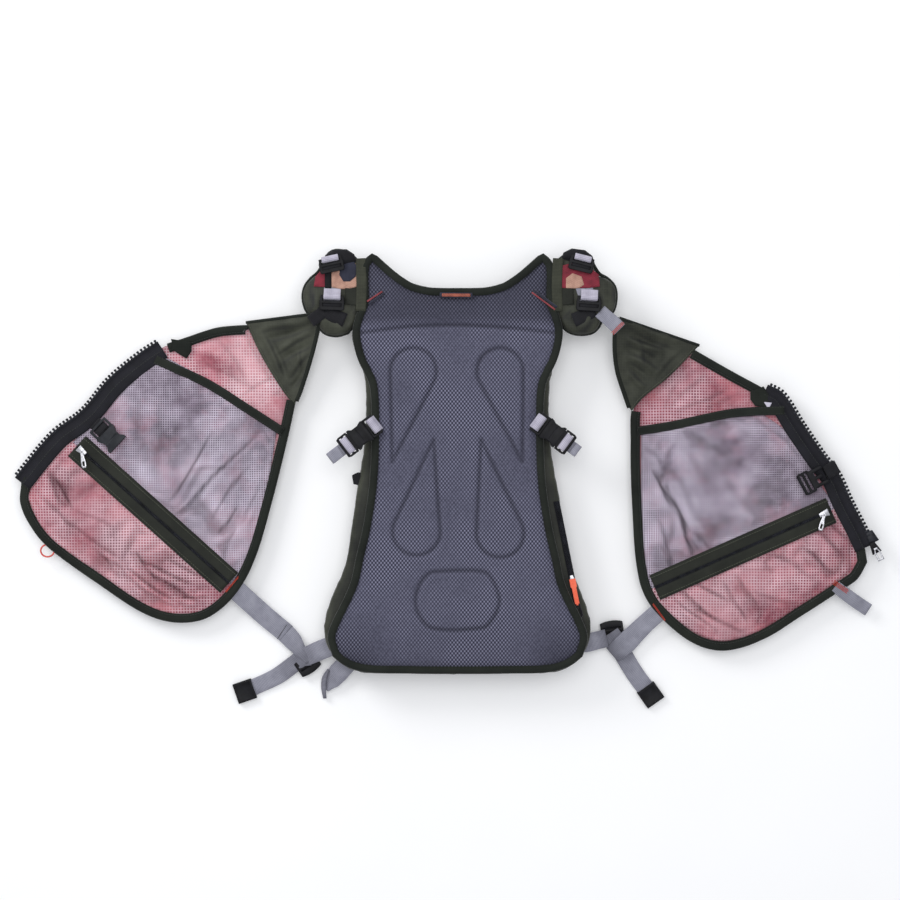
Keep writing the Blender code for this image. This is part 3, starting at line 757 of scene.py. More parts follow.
rim_path = grown(rim_curve, BINDING_OUT)
profile = ribbon_profile(-6.0, 3.0, -3.2, 3.6)
swept("back_binding_tape", level_line(rim_path, 44.9), puckered(rim_path, profile), BINDING, "backpack",
      "binding", "back_binding", closed=True)
print("binding points:", len(rim_path))

# %% Red piping bars, their seams and the collar label
PIPING = {"left": ((-109.2, 219.6), (-90.9, 231.8)), "right": ((89.7, 230.6), (117.7, 209.8))}


def cord_piece(name, route, radius, finish, body, slot, closed=False):
    return swept(name, route, round_profile(radius, 8), finish, body, slot, closed=closed)


for side, (low, high) in PIPING.items():
    line = np.linspace(low, high, 12)
    cord_piece("piping_" + side, level_line(line, 50.3 + 0.25 * np.sin(np.arange(12))), 1.05, DARK_RED,
               "backpack", "orange_trim")
    shift = sideways(line, False) * (3.6 if side == "left" else -3.6)
    cord_piece("piping_seam_" + side, level_line(line + shift, 49.7), 1.5, NAVY_CLOTH, "backpack", "binding")

label_rim = curved([(-22, 224.5), (-21.5, 230.5), (18, 230.2), (18.5, 223.8)][::-1], 3, True)
label_low = lambda spots: 51.6 - 0.0006 * (spots[:, 0] + 2) ** 2 + 0.15 * rumple(spots, 9, 5.0)
piece("collar_label", cloth("collar_label", label_rim, 1.6, label_low, 0.7), NAVY_CLOTH, "backpack",
                     "binding")
face_rim = curved([(-19, 225.5), (-18.8, 229.2), (15.4, 229.0), (15.6, 225.2)][::-1], 2, True)
piece("collar_label_face", cloth("collar_label_face", face_rim, 1.5, lambda s: label_low(s) + 0.35, 0.4),
      RUST_LABEL, "backpack", "orange_trim")
print("collar trims done")

# %% [markdown]
# ## The pack under the back
# The backpack itself is a shallow bag of coated ripstop. Lying on its front, it spreads a little:
# its side wall bulges between the seams and gathers in small upright folds. It is lofted from
# rings, each an offset of the outline at its own height, with folds added as a ripple that fades
# towards the seams. The pocket below it is a stuffed shape, so cloth simulation rounds it.

# %% The pack's body
pack_rim = curved(grown(rim_of("pack_body"), 3.0), 4.5, True)


def lofted_bag(name, rim, levels, gather, seed=0.0):
    """A closed bag from (height, growth) rings; gather is the depth of its upright folds in mm."""
    far = far_along(rim)
    out = sideways(rim, True)
    ring_at = []
    for k, (z, growth) in enumerate(levels):
        share = math.sin(math.pi * k / (len(levels) - 1))
        ripple = np.array([noise.noise((d / 9, z / 30, seed))
                           + 0.6 * noise.noise((d / 31, z / 16, seed + 4)) for d in far])
        ring_at.append(level_line(rim + out * (growth + gather * share * ripple)[:, None], z))
    n = len(rim)
    faces = [tuple(range(n))[::-1], tuple((len(levels) - 1) * n + i for i in range(n))]
    for k in range(len(levels) - 1):
        faces += [(k * n + i, k * n + (i + 1) % n, (k + 1) * n + (i + 1) % n, (k + 1) * n + i)
                  for i in range(n)]
    # Painted shade: the rings darken towards the bottom and the top of the wall, where it turns under.
    tones = np.concatenate([np.full(n, 0.5 * (abs(2 * k / (len(levels) - 1) - 1)) ** 4)
                            for k in range(len(levels))])
    return as_mesh(name, np.concatenate(ring_at), faces, tones)


BAG_LEVELS = [(14.4, -6.0), (14.9, -3.0), (16.2, -1.2), (19.0, 0.4), (23.0, 1.3), (27.0, 1.6), (31.0, 0.9),
              (34.0, -0.6), (35.3, -2.6), (35.7, -6.0)]
pack_body = piece("pack_body_cloth", lofted_bag("pack_body_cloth", pack_rim, BAG_LEVELS, 1.1, 2.0), OLIVE,
                  "backpack", "olive_fabric", "pack_body")
print("pack body:", len(pack_body.data.polygons), "faces")

# %% The pack's pocket, stuffed by simulation


def simulated(obj, last, **settings):
    """Runs Cloth on a piece without gravity up to that frame, and gives its points in metres."""
    sim = obj.modifiers.new("cloth", "CLOTH")
    for key, value in settings.items():
        setattr(sim.settings, key, value)
    sim.settings.effector_weights.gravity = 0
    sim.point_cache.frame_start, sim.point_cache.frame_end = 1, last
    for frame_at in range(1, last + 1):
        bpy.context.scene.frame_set(frame_at)
    made = obj.evaluated_get(bpy.context.evaluated_depsgraph_get())
    after = np.zeros(len(obj.data.vertices) * 3)
    made.data.vertices.foreach_get("co", after)
    obj.modifiers.remove(sim)
    bpy.context.scene.frame_set(1)
    return after.reshape(-1, 3)


def stuffed(obj, voxel, pressure, cap, low, high):
    """Rounds a closed piece as filled cloth: remesh, blow up gently, limit each point's way and keep it
    between two heights (mm)."""
    remesh = obj.modifiers.new("even", "REMESH")
    remesh.mode, remesh.voxel_size = "VOXEL", voxel * MM
    bpy.ops.object.select_all(action="DESELECT")
    bpy.context.view_layer.objects.active = obj
    obj.select_set(True)
    bpy.ops.object.modifier_apply(modifier="even")
    spots = np.zeros(len(obj.data.vertices) * 3)
    obj.data.vertices.foreach_get("co", spots)
    spots = spots.reshape(-1, 3)
    filled_out = simulated(obj, 16, quality=4, mass=0.25, use_pressure=True,
                           uniform_pressure_force=pressure, tension_stiffness=18,
                           compression_stiffness=18, shear_stiffness=6, bending_stiffness=0.4)
    move = filled_out - spots
    size = np.linalg.norm(move, axis=1)[:, None] + 1e-9
    spots = spots + move * np.minimum(1, cap * MM / size)
    spots[:, 2] = np.clip(spots[:, 2], low * MM, high * MM)
    obj.data.vertices.foreach_set("co", spots.ravel())
    obj.data.update()
    return obj


def flat_bag(name, rim, low, high, inset=4.0):
    """A simple closed bag with sloped sides, ready to be stuffed."""
    step = (high - low) * 0.25
    levels = [(low, -inset), (low + step, -inset * 0.3), ((low + high) / 2, 0), (high - step, -inset * 0.3),
              (high, -inset)]
    return lofted_bag(name, rim, levels, 0.0)


pocket_rim = curved(grown(rim_of("pack_outer_pocket"), 1.0), 6, True)
pack_pocket = piece("pack_pocket_cloth", flat_bag("pack_pocket_cloth", pocket_rim, 1.0, 13.0), OLIVE, None,
                    "olive_fabric", "pack_outer_pocket")
stuffed(pack_pocket, 5.5, 3.0, 8.0, 0.0, 13.9)
dress(pack_pocket, OLIVE, "backpack")
print("pack pocket:", len(pack_pocket.data.polygons), "faces")

# %% [markdown]
# ## The lined front panels
# Each front is a net-lined panel. Its rim is bound with tape, except at the zip, where the zip's own
# tape covers it, and at the yoke. The lining is fine cloth with a height at each point: slack folds
# run from the corners that are held. A fold is a straight ridge that fades at both ends, so it
# takes two points, a width and a height, and the same list drives its shape and its painted shade.

# %% Folds in cloth


def fold_rise(spots, folds):
    """Height and painted shade from (x0, y0, x1, y1, width, height) folds; a negative height is a furrow."""
    rise, tone = np.zeros(len(spots)), np.zeros(len(spots))
    for x0, y0, x1, y1, width, height in folds:
        a, b = np.array((x0, y0)), np.array((x1, y1))
        way = b - a
        length = np.linalg.norm(way)
        t = (spots - a) @ way / length**2
        off = ((spots - a) @ np.array((-way[1], way[0])) / length) / width
        off = off + 0.35 * np.sin(t * 5.1 + x0)
        fade = np.clip(1 - np.abs(2 * t - 1) ** 3, 0, 1) * ((t > 0) & (t < 1))
        rise += height * fade * np.exp(-(off**2))
        # Painted shade: a dark stroke along one flank of each fold.
        tone += 0.2 * abs(height) * min(1, 5 / width) * fade * np.exp(-(((off - 1.0) / 0.5) ** 2))
    return rise, np.clip(tone, 0, 0.9)


PANEL_TOP = 17.2
PANEL_FOLDS = {
    "left": [(-300, 180, -262, 118, 6, 1.6), (-330, 148, -240, 108, 5, 1.4), (-320, 160, -290, 120, 4, -1.0),
             (-268, 98, -215, 130, 5, 1.5), (-250, 90, -212, 108, 4, 1.2), (-520, 20, -478, -40, 7, 1.8),
             (-505, 28, -500, -50, 5, 1.2), (-470, -60, -380, -110, 6, 1.6), (-430, -100, -340, -120, 5, 1.8),
             (-400, -118, -330, -140, 5, 1.4), (-390, -90, -330, -105, 4, -1.2),
             (-450, -30, -410, -80, 8, 1.0)],
    "right": [(300, 140, 250, 90, 6, 1.6), (330, 122, 262, 88, 5, 1.8), (350, 118, 300, 92, 4, 1.3),
              (270, 132, 242, 84, 5, 1.2), (250, -120, 330, -180, 6, 1.6), (262, -105, 350, -160, 5, 1.2),
              (400, -90, 440, -140, 7, 1.5), (430, -60, 470, -90, 8, 1.8), (280, -130, 300, -190, 4, 1.1),
              (340, -110, 420, -150, 7, 1.0)],
}


def panel_shape(side):
    rim = curved(rim_of("front_panel_" + side), 3.4, True)
    folds = PANEL_FOLDS[side]
    seed = 11.0 if side == "left" else 17.0

    def height(spots):
        edge = distance_to(spots, rim, True)
        settle = np.clip(edge / 14, 0, 1)
        rise, _ = fold_rise(spots, folds)
        return PANEL_TOP - 0.8 + 0.8 * settle + settle * (0.45 * rise + 0.30 * rumple(spots, 16, seed)
                                                          + 0.18 * rumple(spots, 6, seed + 2))

    def tone(spots):
        # Painted shade: beside each fold and near the bound rim, with soft random streaks.
        edge = distance_to(spots, rim, True)
        _, dark = fold_rise(spots, folds)
        return np.clip(dark + 0.35 * np.exp(-np.maximum(edge - 9, 0) / 3.0)
                       + 0.16 * rumple(spots, 24, seed, 2.5, 60), 0, 1)

    return rim, height, tone


fronts = {}
for side in SIDES:
    rim, height, tone = panel_shape(side)
    fronts[side] = {"rim": rim, "height": height, "rows": []}
    name = "lining_" + side
    # The left lining takes the paler copy of the net, which is painted light.
    lining = piece(name, cloth(name, grown(rim, -1.0), 3.0, height, 1.4, tone),
                   PINK_WITH_PAINTED_LIGHT if side == "left" else PINK, "front_" + side, "pink_mesh",
                   "front_panel_" + side)
    print(name, len(lining.data.polygons), "faces")

# %% [markdown]
# ## Net pockets inside the fronts
# A fine grey net makes a wide pocket over most of each lining, with a bound upper hem, and a red one
# covers the rest below the zipped band. Both are cut with slack, so they lie in long soft folds. A
# cloth simulation makes these: the net is pinned all round, its threads are let out by a few per
# cent, and it buckles. It is then lifted clear of the lining and kept flat under the band.

# %% The net pockets
NET_LOW = 18.7
NET_TALL = 3.4  # how far a net may stand off the lining
NET_FOLDS = {
    "left": [(-352, -30, -292, 62, 5, 3.4), (-346, -44, -300, -2, 4, -2.6), (-318, -22, -238, 60, 5, 3.4),
             (-300, -48, -250, 20, 5, 2.8), (-290, -66, -262, -20, 4, -2.6), (-380, 110, -372, -10, 10, 2.4),
             (-356, 100, -352, 10, 7, -2.0), (-405, 110, -395, 30, 9, 2.0), (-350, 120, -330, 50, 8, 1.6),
             (-280, -100, -262, -40, 6, 2.4), (-345, -40, -300, 20, 6, 2.4), (-260, -60, -235, 10, 5, 2.0),
             (-440, 60, -428, 10, 8, 1.4), (-330, 10, -250, 16, 5, 1.6)],
    "right": [(222, 44, 252, 10, 6, 2.4), (230, 16, 262, -34, 5, 3.4), (262, -30, 286, -96, 5, 3.4),
              (252, -2, 276, -58, 4, -2.8), (236, -40, 262, -108, 5, 2.8), (246, -74, 258, -116, 4, -2.4),
              (262, 40, 320, -20, 9, 3.0), (268, 64, 330, 30, 6, -2.0), (255, 10, 300, -60, 8, 3.0),
              (330, 60, 380, 20, 10, 2.2), (350, 75, 410, 45, 6, 1.8), (380, 60, 440, 0, 6, 1.6),
              (300, 30, 360, -50, 9, 1.8), (280, -60, 318, -92, 5, 2.0), (400, 20, 425, -25, 7, 1.2)],
}
LOWER_FOLDS = {
    "left": [(-392, -98, -318, -128, 4, 3.2), (-380, -112, -310, -150, 3.5, -2.8),
             (-410, -106, -340, -150, 4, 3.2), (-360, -96, -300, -122, 4, 2.8),
             (-352, -140, -296, -146, 4, 2.6), (-398, -84, -366, -122, 3.5, -2.4),
             (-430, -96, -380, -138, 5, 2.4), (-512, 20, -486, -30, 6, 3.0), (-500, 12, -470, -34, 4, -2.6),
             (-520, -10, -470, -64, 6, 2.4), (-486, -48, -410, -96, 5, 2.4), (-470, -34, -420, -60, 5, 1.8),
             (-446, -78, -400, -128, 4, -1.8)],
    "right": [(270, -112, 330, -150, 4, 3.0), (262, -128, 322, -176, 4, -2.6), (258, -140, 316, -186, 4, 3.0),
              (320, -120, 352, -176, 4, 2.4), (334, -108, 372, -166, 4, -2.0), (286, -158, 352, -186, 4, 2.6),
              (430, -60, 470, -96, 6, 3.0), (412, -78, 462, -116, 5, -2.4), (380, -92, 440, -126, 6, 2.4),
              (446, -44, 478, -78, 4, 2.2), (356, -140, 420, -152, 5, 1.8), (300, -100, 380, -112, 5, 1.6)],
}


def slack_net(name, rim, spacing, base, folds, band, seed):
    """A net pinned round its rim and let out, so that it buckles; base(spots) is what it lies on.
    It stays flat under the zipped band, whose middle line is band."""
    flat, faces, count = filled(rim, spacing)
    rise, dark = fold_rise(flat, folds)
    edge = distance_to(flat, rim, True)
    settle = np.clip(edge / 12, 0, 1) * np.clip((distance_to(flat, band) - 14) / 9, 0, 1)
    start = 0.9 * settle * rise + 0.5 * settle * rumple(flat, 14, seed)
    spots = np.column_stack([flat, start])
    mesh = as_mesh(name, spots, faces)
    obj = bpy.data.objects.new(name + "_sim", mesh)
    bpy.context.scene.collection.objects.link(obj)
    held = obj.vertex_groups.new(name="held")
    held.add(list(range(count)), 1.0, "REPLACE")
    spots = simulated(obj, 22, vertex_group_mass="held", quality=5, mass=0.15, shrink_min=-0.03,
                      shrink_max=-0.03, tension_stiffness=15, compression_stiffness=15, shear_stiffness=5,
                      bending_stiffness=0.05) / MM
    bpy.data.objects.remove(obj)
    lift = NET_TALL * np.tanh(np.maximum(spots[:, 2] + 1.6, 0) / NET_TALL)
    lift = np.maximum(lift + 0.45 * rise, 0.1) * settle
    z = base(spots[:, :2]) + lift
    # Painted shade: darker where the net sinks close to the lining, beside each fold, and in soft random
    # streaks.
    tone = np.clip(0.45 * np.exp(-lift / 0.9) * settle + 1.15 * dark
                   + 0.3 * rumple(flat, 22, seed + 9, 2.4, 35), 0, 1)
    return np.column_stack([spots[:, :2], z]), faces, tone


ZIP_LINES = {"left": [(-366, 172), (-389, 157), (-426, 126), (-458, 88), (-495, 60), (-540, 6)],
             "right": [(379, 119), (397, 109), (421, 72), (447, 34), (465, 11), (480, -22), (498, -57)]}
HEMS = {"left": [(-369, 151), (-345, 140), (-304.4, 120.8), (-262, 94), (-214, 63)],
        "right": [(220, 63.4), (262, 70), (328.8, 84.2), (362, 87.4), (399, 88.5)]}
ZIP_RUN = {"left": ((-465, 45), (-279, -122)), "right": ((241, -128), (456.5, -33.5))}


def cut_by(loop, one, two, keep_left):
    """The part of a closed line on one side of the straight line from one to two."""
    one, two = np.array(one, float), np.array(two, float)
    way = (two - one) / np.linalg.norm(two - one)
    off = ((loop - one) @ np.array((-way[1], way[0]))) * (1 if keep_left else -1)
    kept = []
    for i in range(len(loop)):
        j = (i + 1) % len(loop)
        if off[i] >= 0:
            kept.append(loop[i])
        if (off[i] > 0) != (off[j] > 0):
            kept.append(loop[i] + (loop[j] - loop[i]) * off[i] / (off[i] - off[j]))
    return np.array(kept)


def evened(loop, spacing):
    """The closed line with points that far apart, straight between the old ones."""
    ring = np.vstack([loop, loop[:1]])
    far = far_along(ring)
    at = np.linspace(0, far[-1], max(8, round(far[-1] / spacing)), endpoint=False)
    return np.stack([np.interp(at, far, ring[:, 0]), np.interp(at, far, ring[:, 1])], 1)


for side in SIDES:
    whole = curved(rim_of("mesh_pocket_" + side), 3.6, True)
    under_tape = np.clip((34 - distance_to(whole, curved(ZIP_LINES[side], 6))) / 12, 0, 1)
    below_hem = np.clip((max(HEMS[side][0][1], HEMS[side][-1][1]) - 2 - whole[:, 1]) / 12, 0, 1)
    whole = grown(whole, (1.0 + 7.5 * under_tape * below_hem)[:, None])
    base = lambda s: np.maximum(fronts[side]["height"](s) + 0.9, NET_LOW)
    for part, keep_left, finish in (("net_pocket_", True, GREY), ("lower_net_", False, PINK)):
        rim = evened(cut_by(whole, *ZIP_RUN[side], keep_left), 3.6)
        folds = NET_FOLDS[side] if keep_left else LOWER_FOLDS[side]
        name = part + side
        band = np.array(ZIP_RUN[side], float)
        spots, faces, tone = slack_net(name, rim, 3.6, base, folds, band, 21.0 + SIDES[side] + 5 * keep_left)
        mesh = thick_sheet(name, spots, faces, 0.5, tone)
        net = piece(name, mesh, finish, "front_" + side, "grey_mesh" if keep_left else "pink_mesh",
                    "mesh_pocket_" + side)
        print(name, len(net.data.polygons), "faces, up to", round(float(spots[:, 2].max()), 1), "mm")

# %% [markdown]
# ## Bound edges and hem bands
# The same folded tape closes each front, from the yoke to the zip and from the zip's foot round the
# armhole. It is wider than the back's and holds the edges of lining and net together. The net
# pocket's upper hem is a flat band of it, laid straight across the panel with a bend in it.

# %% Front bindings
FRONT_EDGES = {  # start, end and a place on the way, counterclockwise
    "left": [((-252, 192), (-356, 168), (-310, 183)), ((-530, 8), (-199, 100), (-350, -168))],
    "right": [((371, 116), (286, 163), (330, 138)), ((214, 88), (491, -61), (326, -203))],
}
EDGE_TAPE = ribbon_profile(-9.6, 1.4, 13.4, 20.2)

for side in SIDES:
    for k, (start, end, via) in enumerate(FRONT_EDGES[side]):
        line = stretch(fronts[side]["rim"], start, end, via)
        name = f"edge_tape_{side}_{k + 1}"
        shape = puckered(line, EDGE_TAPE, 8.0, 0.10, k + 2.0)
        swept(name, level_line(line, 0.0), shape, BINDING, "front_" + side, "binding")
        fronts[side]["rows"].append((name + "_stitch", grown(line, -7.6, False), 20.4))
    line = curved(HEMS[side], 5)
    waver = 0.5 * np.array([noise.noise((x / 30, 0, 1.7)) for x in line[:, 0]])
    tape = band_profile(10.8, 1.6, 0.45, 0.5)
    swept("hem_band_" + side, level_line(line, 20.6 + waver), tape, BINDING, "front_" + side, "binding")
    for edge in (-1, 1):
        row = grown(line, 3.9 * edge, False)
        fronts[side]["rows"].append((f"hem_stitch_{side}_{'low' if edge < 0 else 'high'}", row, 21.5 + waver))
print("bindings done")

# %% [markdown]
# ## Stitching
# A row of stitches is a string of short thread capsules. One capsule is modelled once from a
# cylinder with bevelled ends and then copied along every seam, turned with it.

# %% Hard pieces: a bench for modelling with Blender's operators


def clear_bench():
    """Leaves edit mode and deselects everything."""
    if bpy.context.mode != "OBJECT":
        bpy.ops.object.mode_set(mode="OBJECT")
    bpy.ops.object.select_all(action="DESELECT")


def start_cube(name, size, at):
    """A cube of that size (mm) on the bench, ready to be shaped."""
    clear_bench()
    bpy.ops.mesh.primitive_cube_add(size=1, location=Vector(at) * MM, scale=Vector(size) * MM)
    obj = bpy.context.object
    obj.name = name
    bpy.ops.object.transform_apply(location=True, rotation=True, scale=True)
    return obj


def start_cylinder(name, radius, length, sides):
    """A cylinder of that radius and length (mm) on the bench, lying along X."""
    clear_bench()
    bpy.ops.mesh.primitive_cylinder_add(radius=radius * MM, depth=length * MM, vertices=sides,
                                        rotation=(0, math.radians(90), 0))
    obj = bpy.context.object
    obj.name = name
    bpy.ops.object.transform_apply(location=True, rotation=True, scale=True)
    return obj


def pick(obj, test, kind="FACE"):
    """Goes into edit mode with the faces or points selected whose middle (mm) passes the test."""
    clear_bench()
    bpy.context.view_layer.objects.active = obj
    obj.select_set(True)
    bpy.ops.object.mode_set(mode="EDIT")
    bpy.ops.mesh.select_mode(type="VERT")
    bpy.ops.mesh.select_all(action="DESELECT")
    bpy.ops.mesh.select_mode(type=kind)
    work = bmesh.from_edit_mesh(obj.data)
    if kind == "FACE":
        middles = [(f, f.calc_center_median() / MM) for f in work.faces]
    else:
        middles = [(v, v.co / MM) for v in work.verts]
    for element, middle in middles:
        element.select_set(bool(test(middle)))
    if kind != "FACE":
        work.select_flush(True)
    bmesh.update_edit_mesh(obj.data)


def extrude(by):
    bpy.ops.mesh.extrude_region_move(TRANSFORM_OT_translate={"value": Vector(by) * MM})


def resize(by, centre):
    bpy.ops.transform.resize(value=by, center_override=Vector(centre) * MM)


def done():
    bpy.ops.object.mode_set(mode="OBJECT")


def soften(obj, width, segments, angle=35):
    """Rounds every sharp edge by that width (mm)."""
    done()
    clear_bench()
    bpy.context.view_layer.objects.active = obj
    obj.select_set(True)
    rounding = obj.modifiers.new("rounding", "BEVEL")
    rounding.width, rounding.segments = width * MM, segments
    rounding.limit_method, rounding.angle_limit = "ANGLE", math.radians(angle)
    bpy.ops.object.modifier_apply(modifier="rounding")
    bpy.ops.object.shade_smooth_by_angle(angle=math.radians(40))
    return obj


def join(name, *parts):
    done()
    clear_bench()
    for part in parts:
        part.select_set(True)
    bpy.context.view_layer.objects.active = parts[0]
    bpy.ops.object.join()
    parts[0].name = parts[0].data.name = name
    return parts[0]


def set_down(obj, at, turn=0.0):
    """Moves the mesh, not the object, to its place: at (mm), turned about the vertical."""
    done()
    place = Matrix.Translation(Vector(at) * MM) @ Matrix.Rotation(math.radians(turn), 4, "Z")
    obj.data.transform(place)
    obj.data.update()
    return obj


def repeated(name, model, places):
    """One mesh of many copies of a model, one at each matrix (in mm)."""
    spots = np.array([v.co for v in model.data.vertices]) / MM
    rings = [tuple(p.vertices) for p in model.data.polygons]
    all_spots, faces = [], []
    for k, place in enumerate(places):
        turn = np.array(place)
        all_spots.append(spots @ turn[:3, :3].T + turn[:3, 3])
        faces += [tuple(i + k * len(spots) for i in ring) for ring in rings]
    return as_mesh(name, np.concatenate(all_spots), faces)


def along_line(line, heights, pitch, start=0.0, turn=0.0):
    """Matrices at each pitch along a flat line, with X along it."""
    far = far_along(line)
    heights = np.broadcast_to(heights, len(line))
    places = []
    for at in np.arange(start + pitch / 2, far[-1], pitch):
        x, y, z = (np.interp(at, far, v) for v in (line[:, 0], line[:, 1], heights))
        k = min(int(np.searchsorted(far, at)) - 1, len(line) - 2)
        way = line[k + 1] - line[k]
        angle = math.atan2(way[1], way[0]) + math.radians(turn)
        places.append(Matrix.Translation((x, y, z)) @ Matrix.Rotation(angle, 4, "Z"))
    return places


print("bench ready")

# %% One stitch, and the rows of stitches
stitch_model = start_cylinder("stitch_model", 0.42, 2.3, 6)
soften(stitch_model, 0.18, 1, 50)
stitch_model.data.transform(Matrix.Diagonal((1, 1, 0.7, 1)))


def stitches(name, line, heights, finish, body, slot, pitch=3.2):
    line = np.asarray(line, float)
    return piece(name, repeated(name, stitch_model, along_line(line, heights, pitch)), finish, body, slot)


for side in SIDES:
    for name, row, heights in fronts[side]["rows"]:
        stitches(name, row, heights, BLACK_THREAD, "front_" + side, "binding")
print("stitch:", len(stitch_model.data.polygons), "faces")

# %% [markdown]
# ## Zipped bands across the fronts
# Below the net pocket a wide olive band carries a covered coil zip. It is two folded lips with a
# coil between them: the coil is a row of small bent loops, far too fine to be one helix, so one
# loop is modelled and copied on both sides of the middle. The slider and its pull are metal.

# %% Bands and coils
BAND_LEVEL = 20.2
coil_model = start_cube("coil_model", (0.9, 3.1, 1.3), (0, 0, 0))
soften(coil_model, 0.32, 1)


for side in SIDES:
    body = "front_" + side
    line = straight(ZIP_RUN[side], 48)
    bow = 1.4 * np.sin(np.linspace(0, math.pi, len(line)))
    waver = 0.35 * np.array([noise.noise((x / 34, 5.0, side == "left")) for x in line[:, 0]])
    base_profile = band_profile(33.0, 0.9)
    swept("zip_band_base_" + side, level_line(line, BAND_LEVEL - 0.2), base_profile, OLIVE_BAND, body,
          "olive_fabric", "zip_band_" + side)
    for edge, word in ((1, "low"), (-1, "high")):
        lip_line = grown(line, edge * 8.8, False)
        lip = [(-7.2, -0.5), (-6.0, -0.8), (6.0, -0.8), (7.6, -0.3), (7.6, 0.7), (6.0, 1.25), (2.0, 0.8),
               (-3.0, 0.75), (-6.2, 0.9), (-7.4, 0.3)]
        lip = [(-x * edge, z) for x, z in lip]
        swept(f"zip_lip_{side}_{word}", level_line(lip_line, BAND_LEVEL + 0.9 + waver), lip, OLIVE_BAND, body,
              "olive_fabric")
        stitches(f"zip_stitch_{side}_{word}", grown(line, edge * 12.8, False), BAND_LEVEL + 1.9 + waver,
                 OLIVE_THREAD, body, "olive_fabric")
    tape = band_profile(8.0, 0.6)
    swept("coil_tape_" + side, level_line(line, BAND_LEVEL + 0.7), tape, ZIP_TAPE, body, "zip_tape")
    loops = along_line(grown(line, 0.9, False), BAND_LEVEL + 1.6, 1.9, 0, 14)
    loops += along_line(grown(line, -0.9, False), BAND_LEVEL + 1.6, 1.9, 0.95, -14)
    piece("coil_" + side, repeated("coil_" + side, coil_model, loops), TEETH_PLASTIC, body, "black_plastic")
print("bands done")

# %% [markdown]
# ## The centre zip
# The vest's front closes with a coarse moulded zip: separate teeth, 5 mm apart, clamped on a
# corded black tape. Its tape is swept along the front's edge with the cord on the outside and a
# placket fold over the sewn side. One tooth is modelled from a cube: its head is
# extruded and narrowed, and its edges are rounded. It is copied at every pitch.

# %% Zip tape and teeth
TOOTH_PITCH = 5.0
tooth_model = start_cube("tooth_model", (2.5, 3.6, 3.0), (0, 0.2, 0))
pick(tooth_model, lambda m: m.y > 1.9)
extrude((0, 1.5, 0))
resize((1.35, 1, 0.75), (0, 3.5, 0))
extrude((0, 1.1, 0))
resize((0.7, 1, 0.8), (0, 4.6, 0))
soften(tooth_model, 0.35, 1)
TAPE = [(0.6, -1.5), (1.3, -0.6), (1.3, 0.4), (0.5, 1.1), (-1.2, 1.2), (-2.2, 0.5), (-9.5, 0.3), (-10.2, 1.2),
        (-12, 1.7), (-16, 1.5), (-20.5, 1.3), (-22.0, 0.6), (-22.2, -0.6), (-20, -1.5), (-8, -1.5)]

for side in SIDES:
    body = "front_" + side
    foot = [(506.5, -75.5)] if side == "right" else []  # under the slider
    line = curved(ZIP_LINES[side] + foot, 4.0)
    if side == "right":
        line = line[::-1]  # counterclockwise, as the left one runs
    name = "zip_tape_" + side
    tape = strip(name, level_line(line, 19.5), puckered(line, TAPE, 9.0, 0.12, 6.0))
    piece(name, tape, ZIP_TAPE, body, "zip_tape", "center_zip_" + side)
    places = [m @ Matrix.Rotation(math.pi, 4, "Z") for m in along_line(line, 19.4, TOOTH_PITCH)]
    piece("zip_teeth_" + side, repeated("zip_teeth_" + side, tooth_model, places), TEETH_PLASTIC, body,
                  "black_plastic")
    stitches("tape_stitch_" + side, grown(line, -11.6, False), 21.3, BLACK_THREAD, body, "zip_tape", 3.4)
print("tooth:", len(tooth_model.data.polygons), "faces, at", TOOTH_PITCH, "mm")

# %% [markdown]
# ## Yokes and outer shells of the fronts
# From each lining up to the shoulder a gusset of thin coated cloth takes the pull of the strap. Cloth
# that is held along two edges and pulled at one corner forms folds that fan out from that corner, so
# the yoke is a fine grid between its two edges with a fan of ridges. Below each lining lies the
# vest's outer cloth, with its cargo pocket, which is stuffed like the pack's.

# %% A grid of cloth between two edges


def spread(line, count):
    """That many points at even steps along a line."""
    line = np.asarray(line, float)
    far = far_along(line)
    at = np.linspace(0, far[-1], count)
    return np.stack([np.interp(at, far, line[:, k]) for k in range(line.shape[1])], 1)


def spanned(name, one, two, count, across, folds, thick, seed):
    """A folded cloth from edge one to edge two, both 3D lines in millimetres."""
    one, two = spread(curved(one, 5), count), spread(curved(two, 5), count)
    share = np.linspace(0, 1, across)[None, :, None]
    spots = (one[:, None, :] * (1 - share) + two[:, None, :] * share).reshape(-1, 3)
    rise, dark = fold_rise(spots[:, :2], folds)
    inner = np.sin(math.pi * np.tile(np.linspace(0, 1, across), count)) ** 0.6
    spots[:, 2] += inner * (rise + 0.9 * rumple(spots, 13, seed) + 0.5 * rumple(spots, 6, seed + 3))
    faces = [(i * across + k, i * across + k + 1, (i + 1) * across + k + 1, (i + 1) * across + k)
             for i in range(count - 1) for k in range(across - 1)]
    # Painted shade beside each fold, and soft random streaks.
    tone = np.clip(dark * 0.9 + 0.3 * rumple(spots, 14, seed + 7, 2.0, 30), 0, 1)
    mesh = thick_sheet(name, spots, faces, thick, tone)
    orient_outwards(mesh)
    return mesh


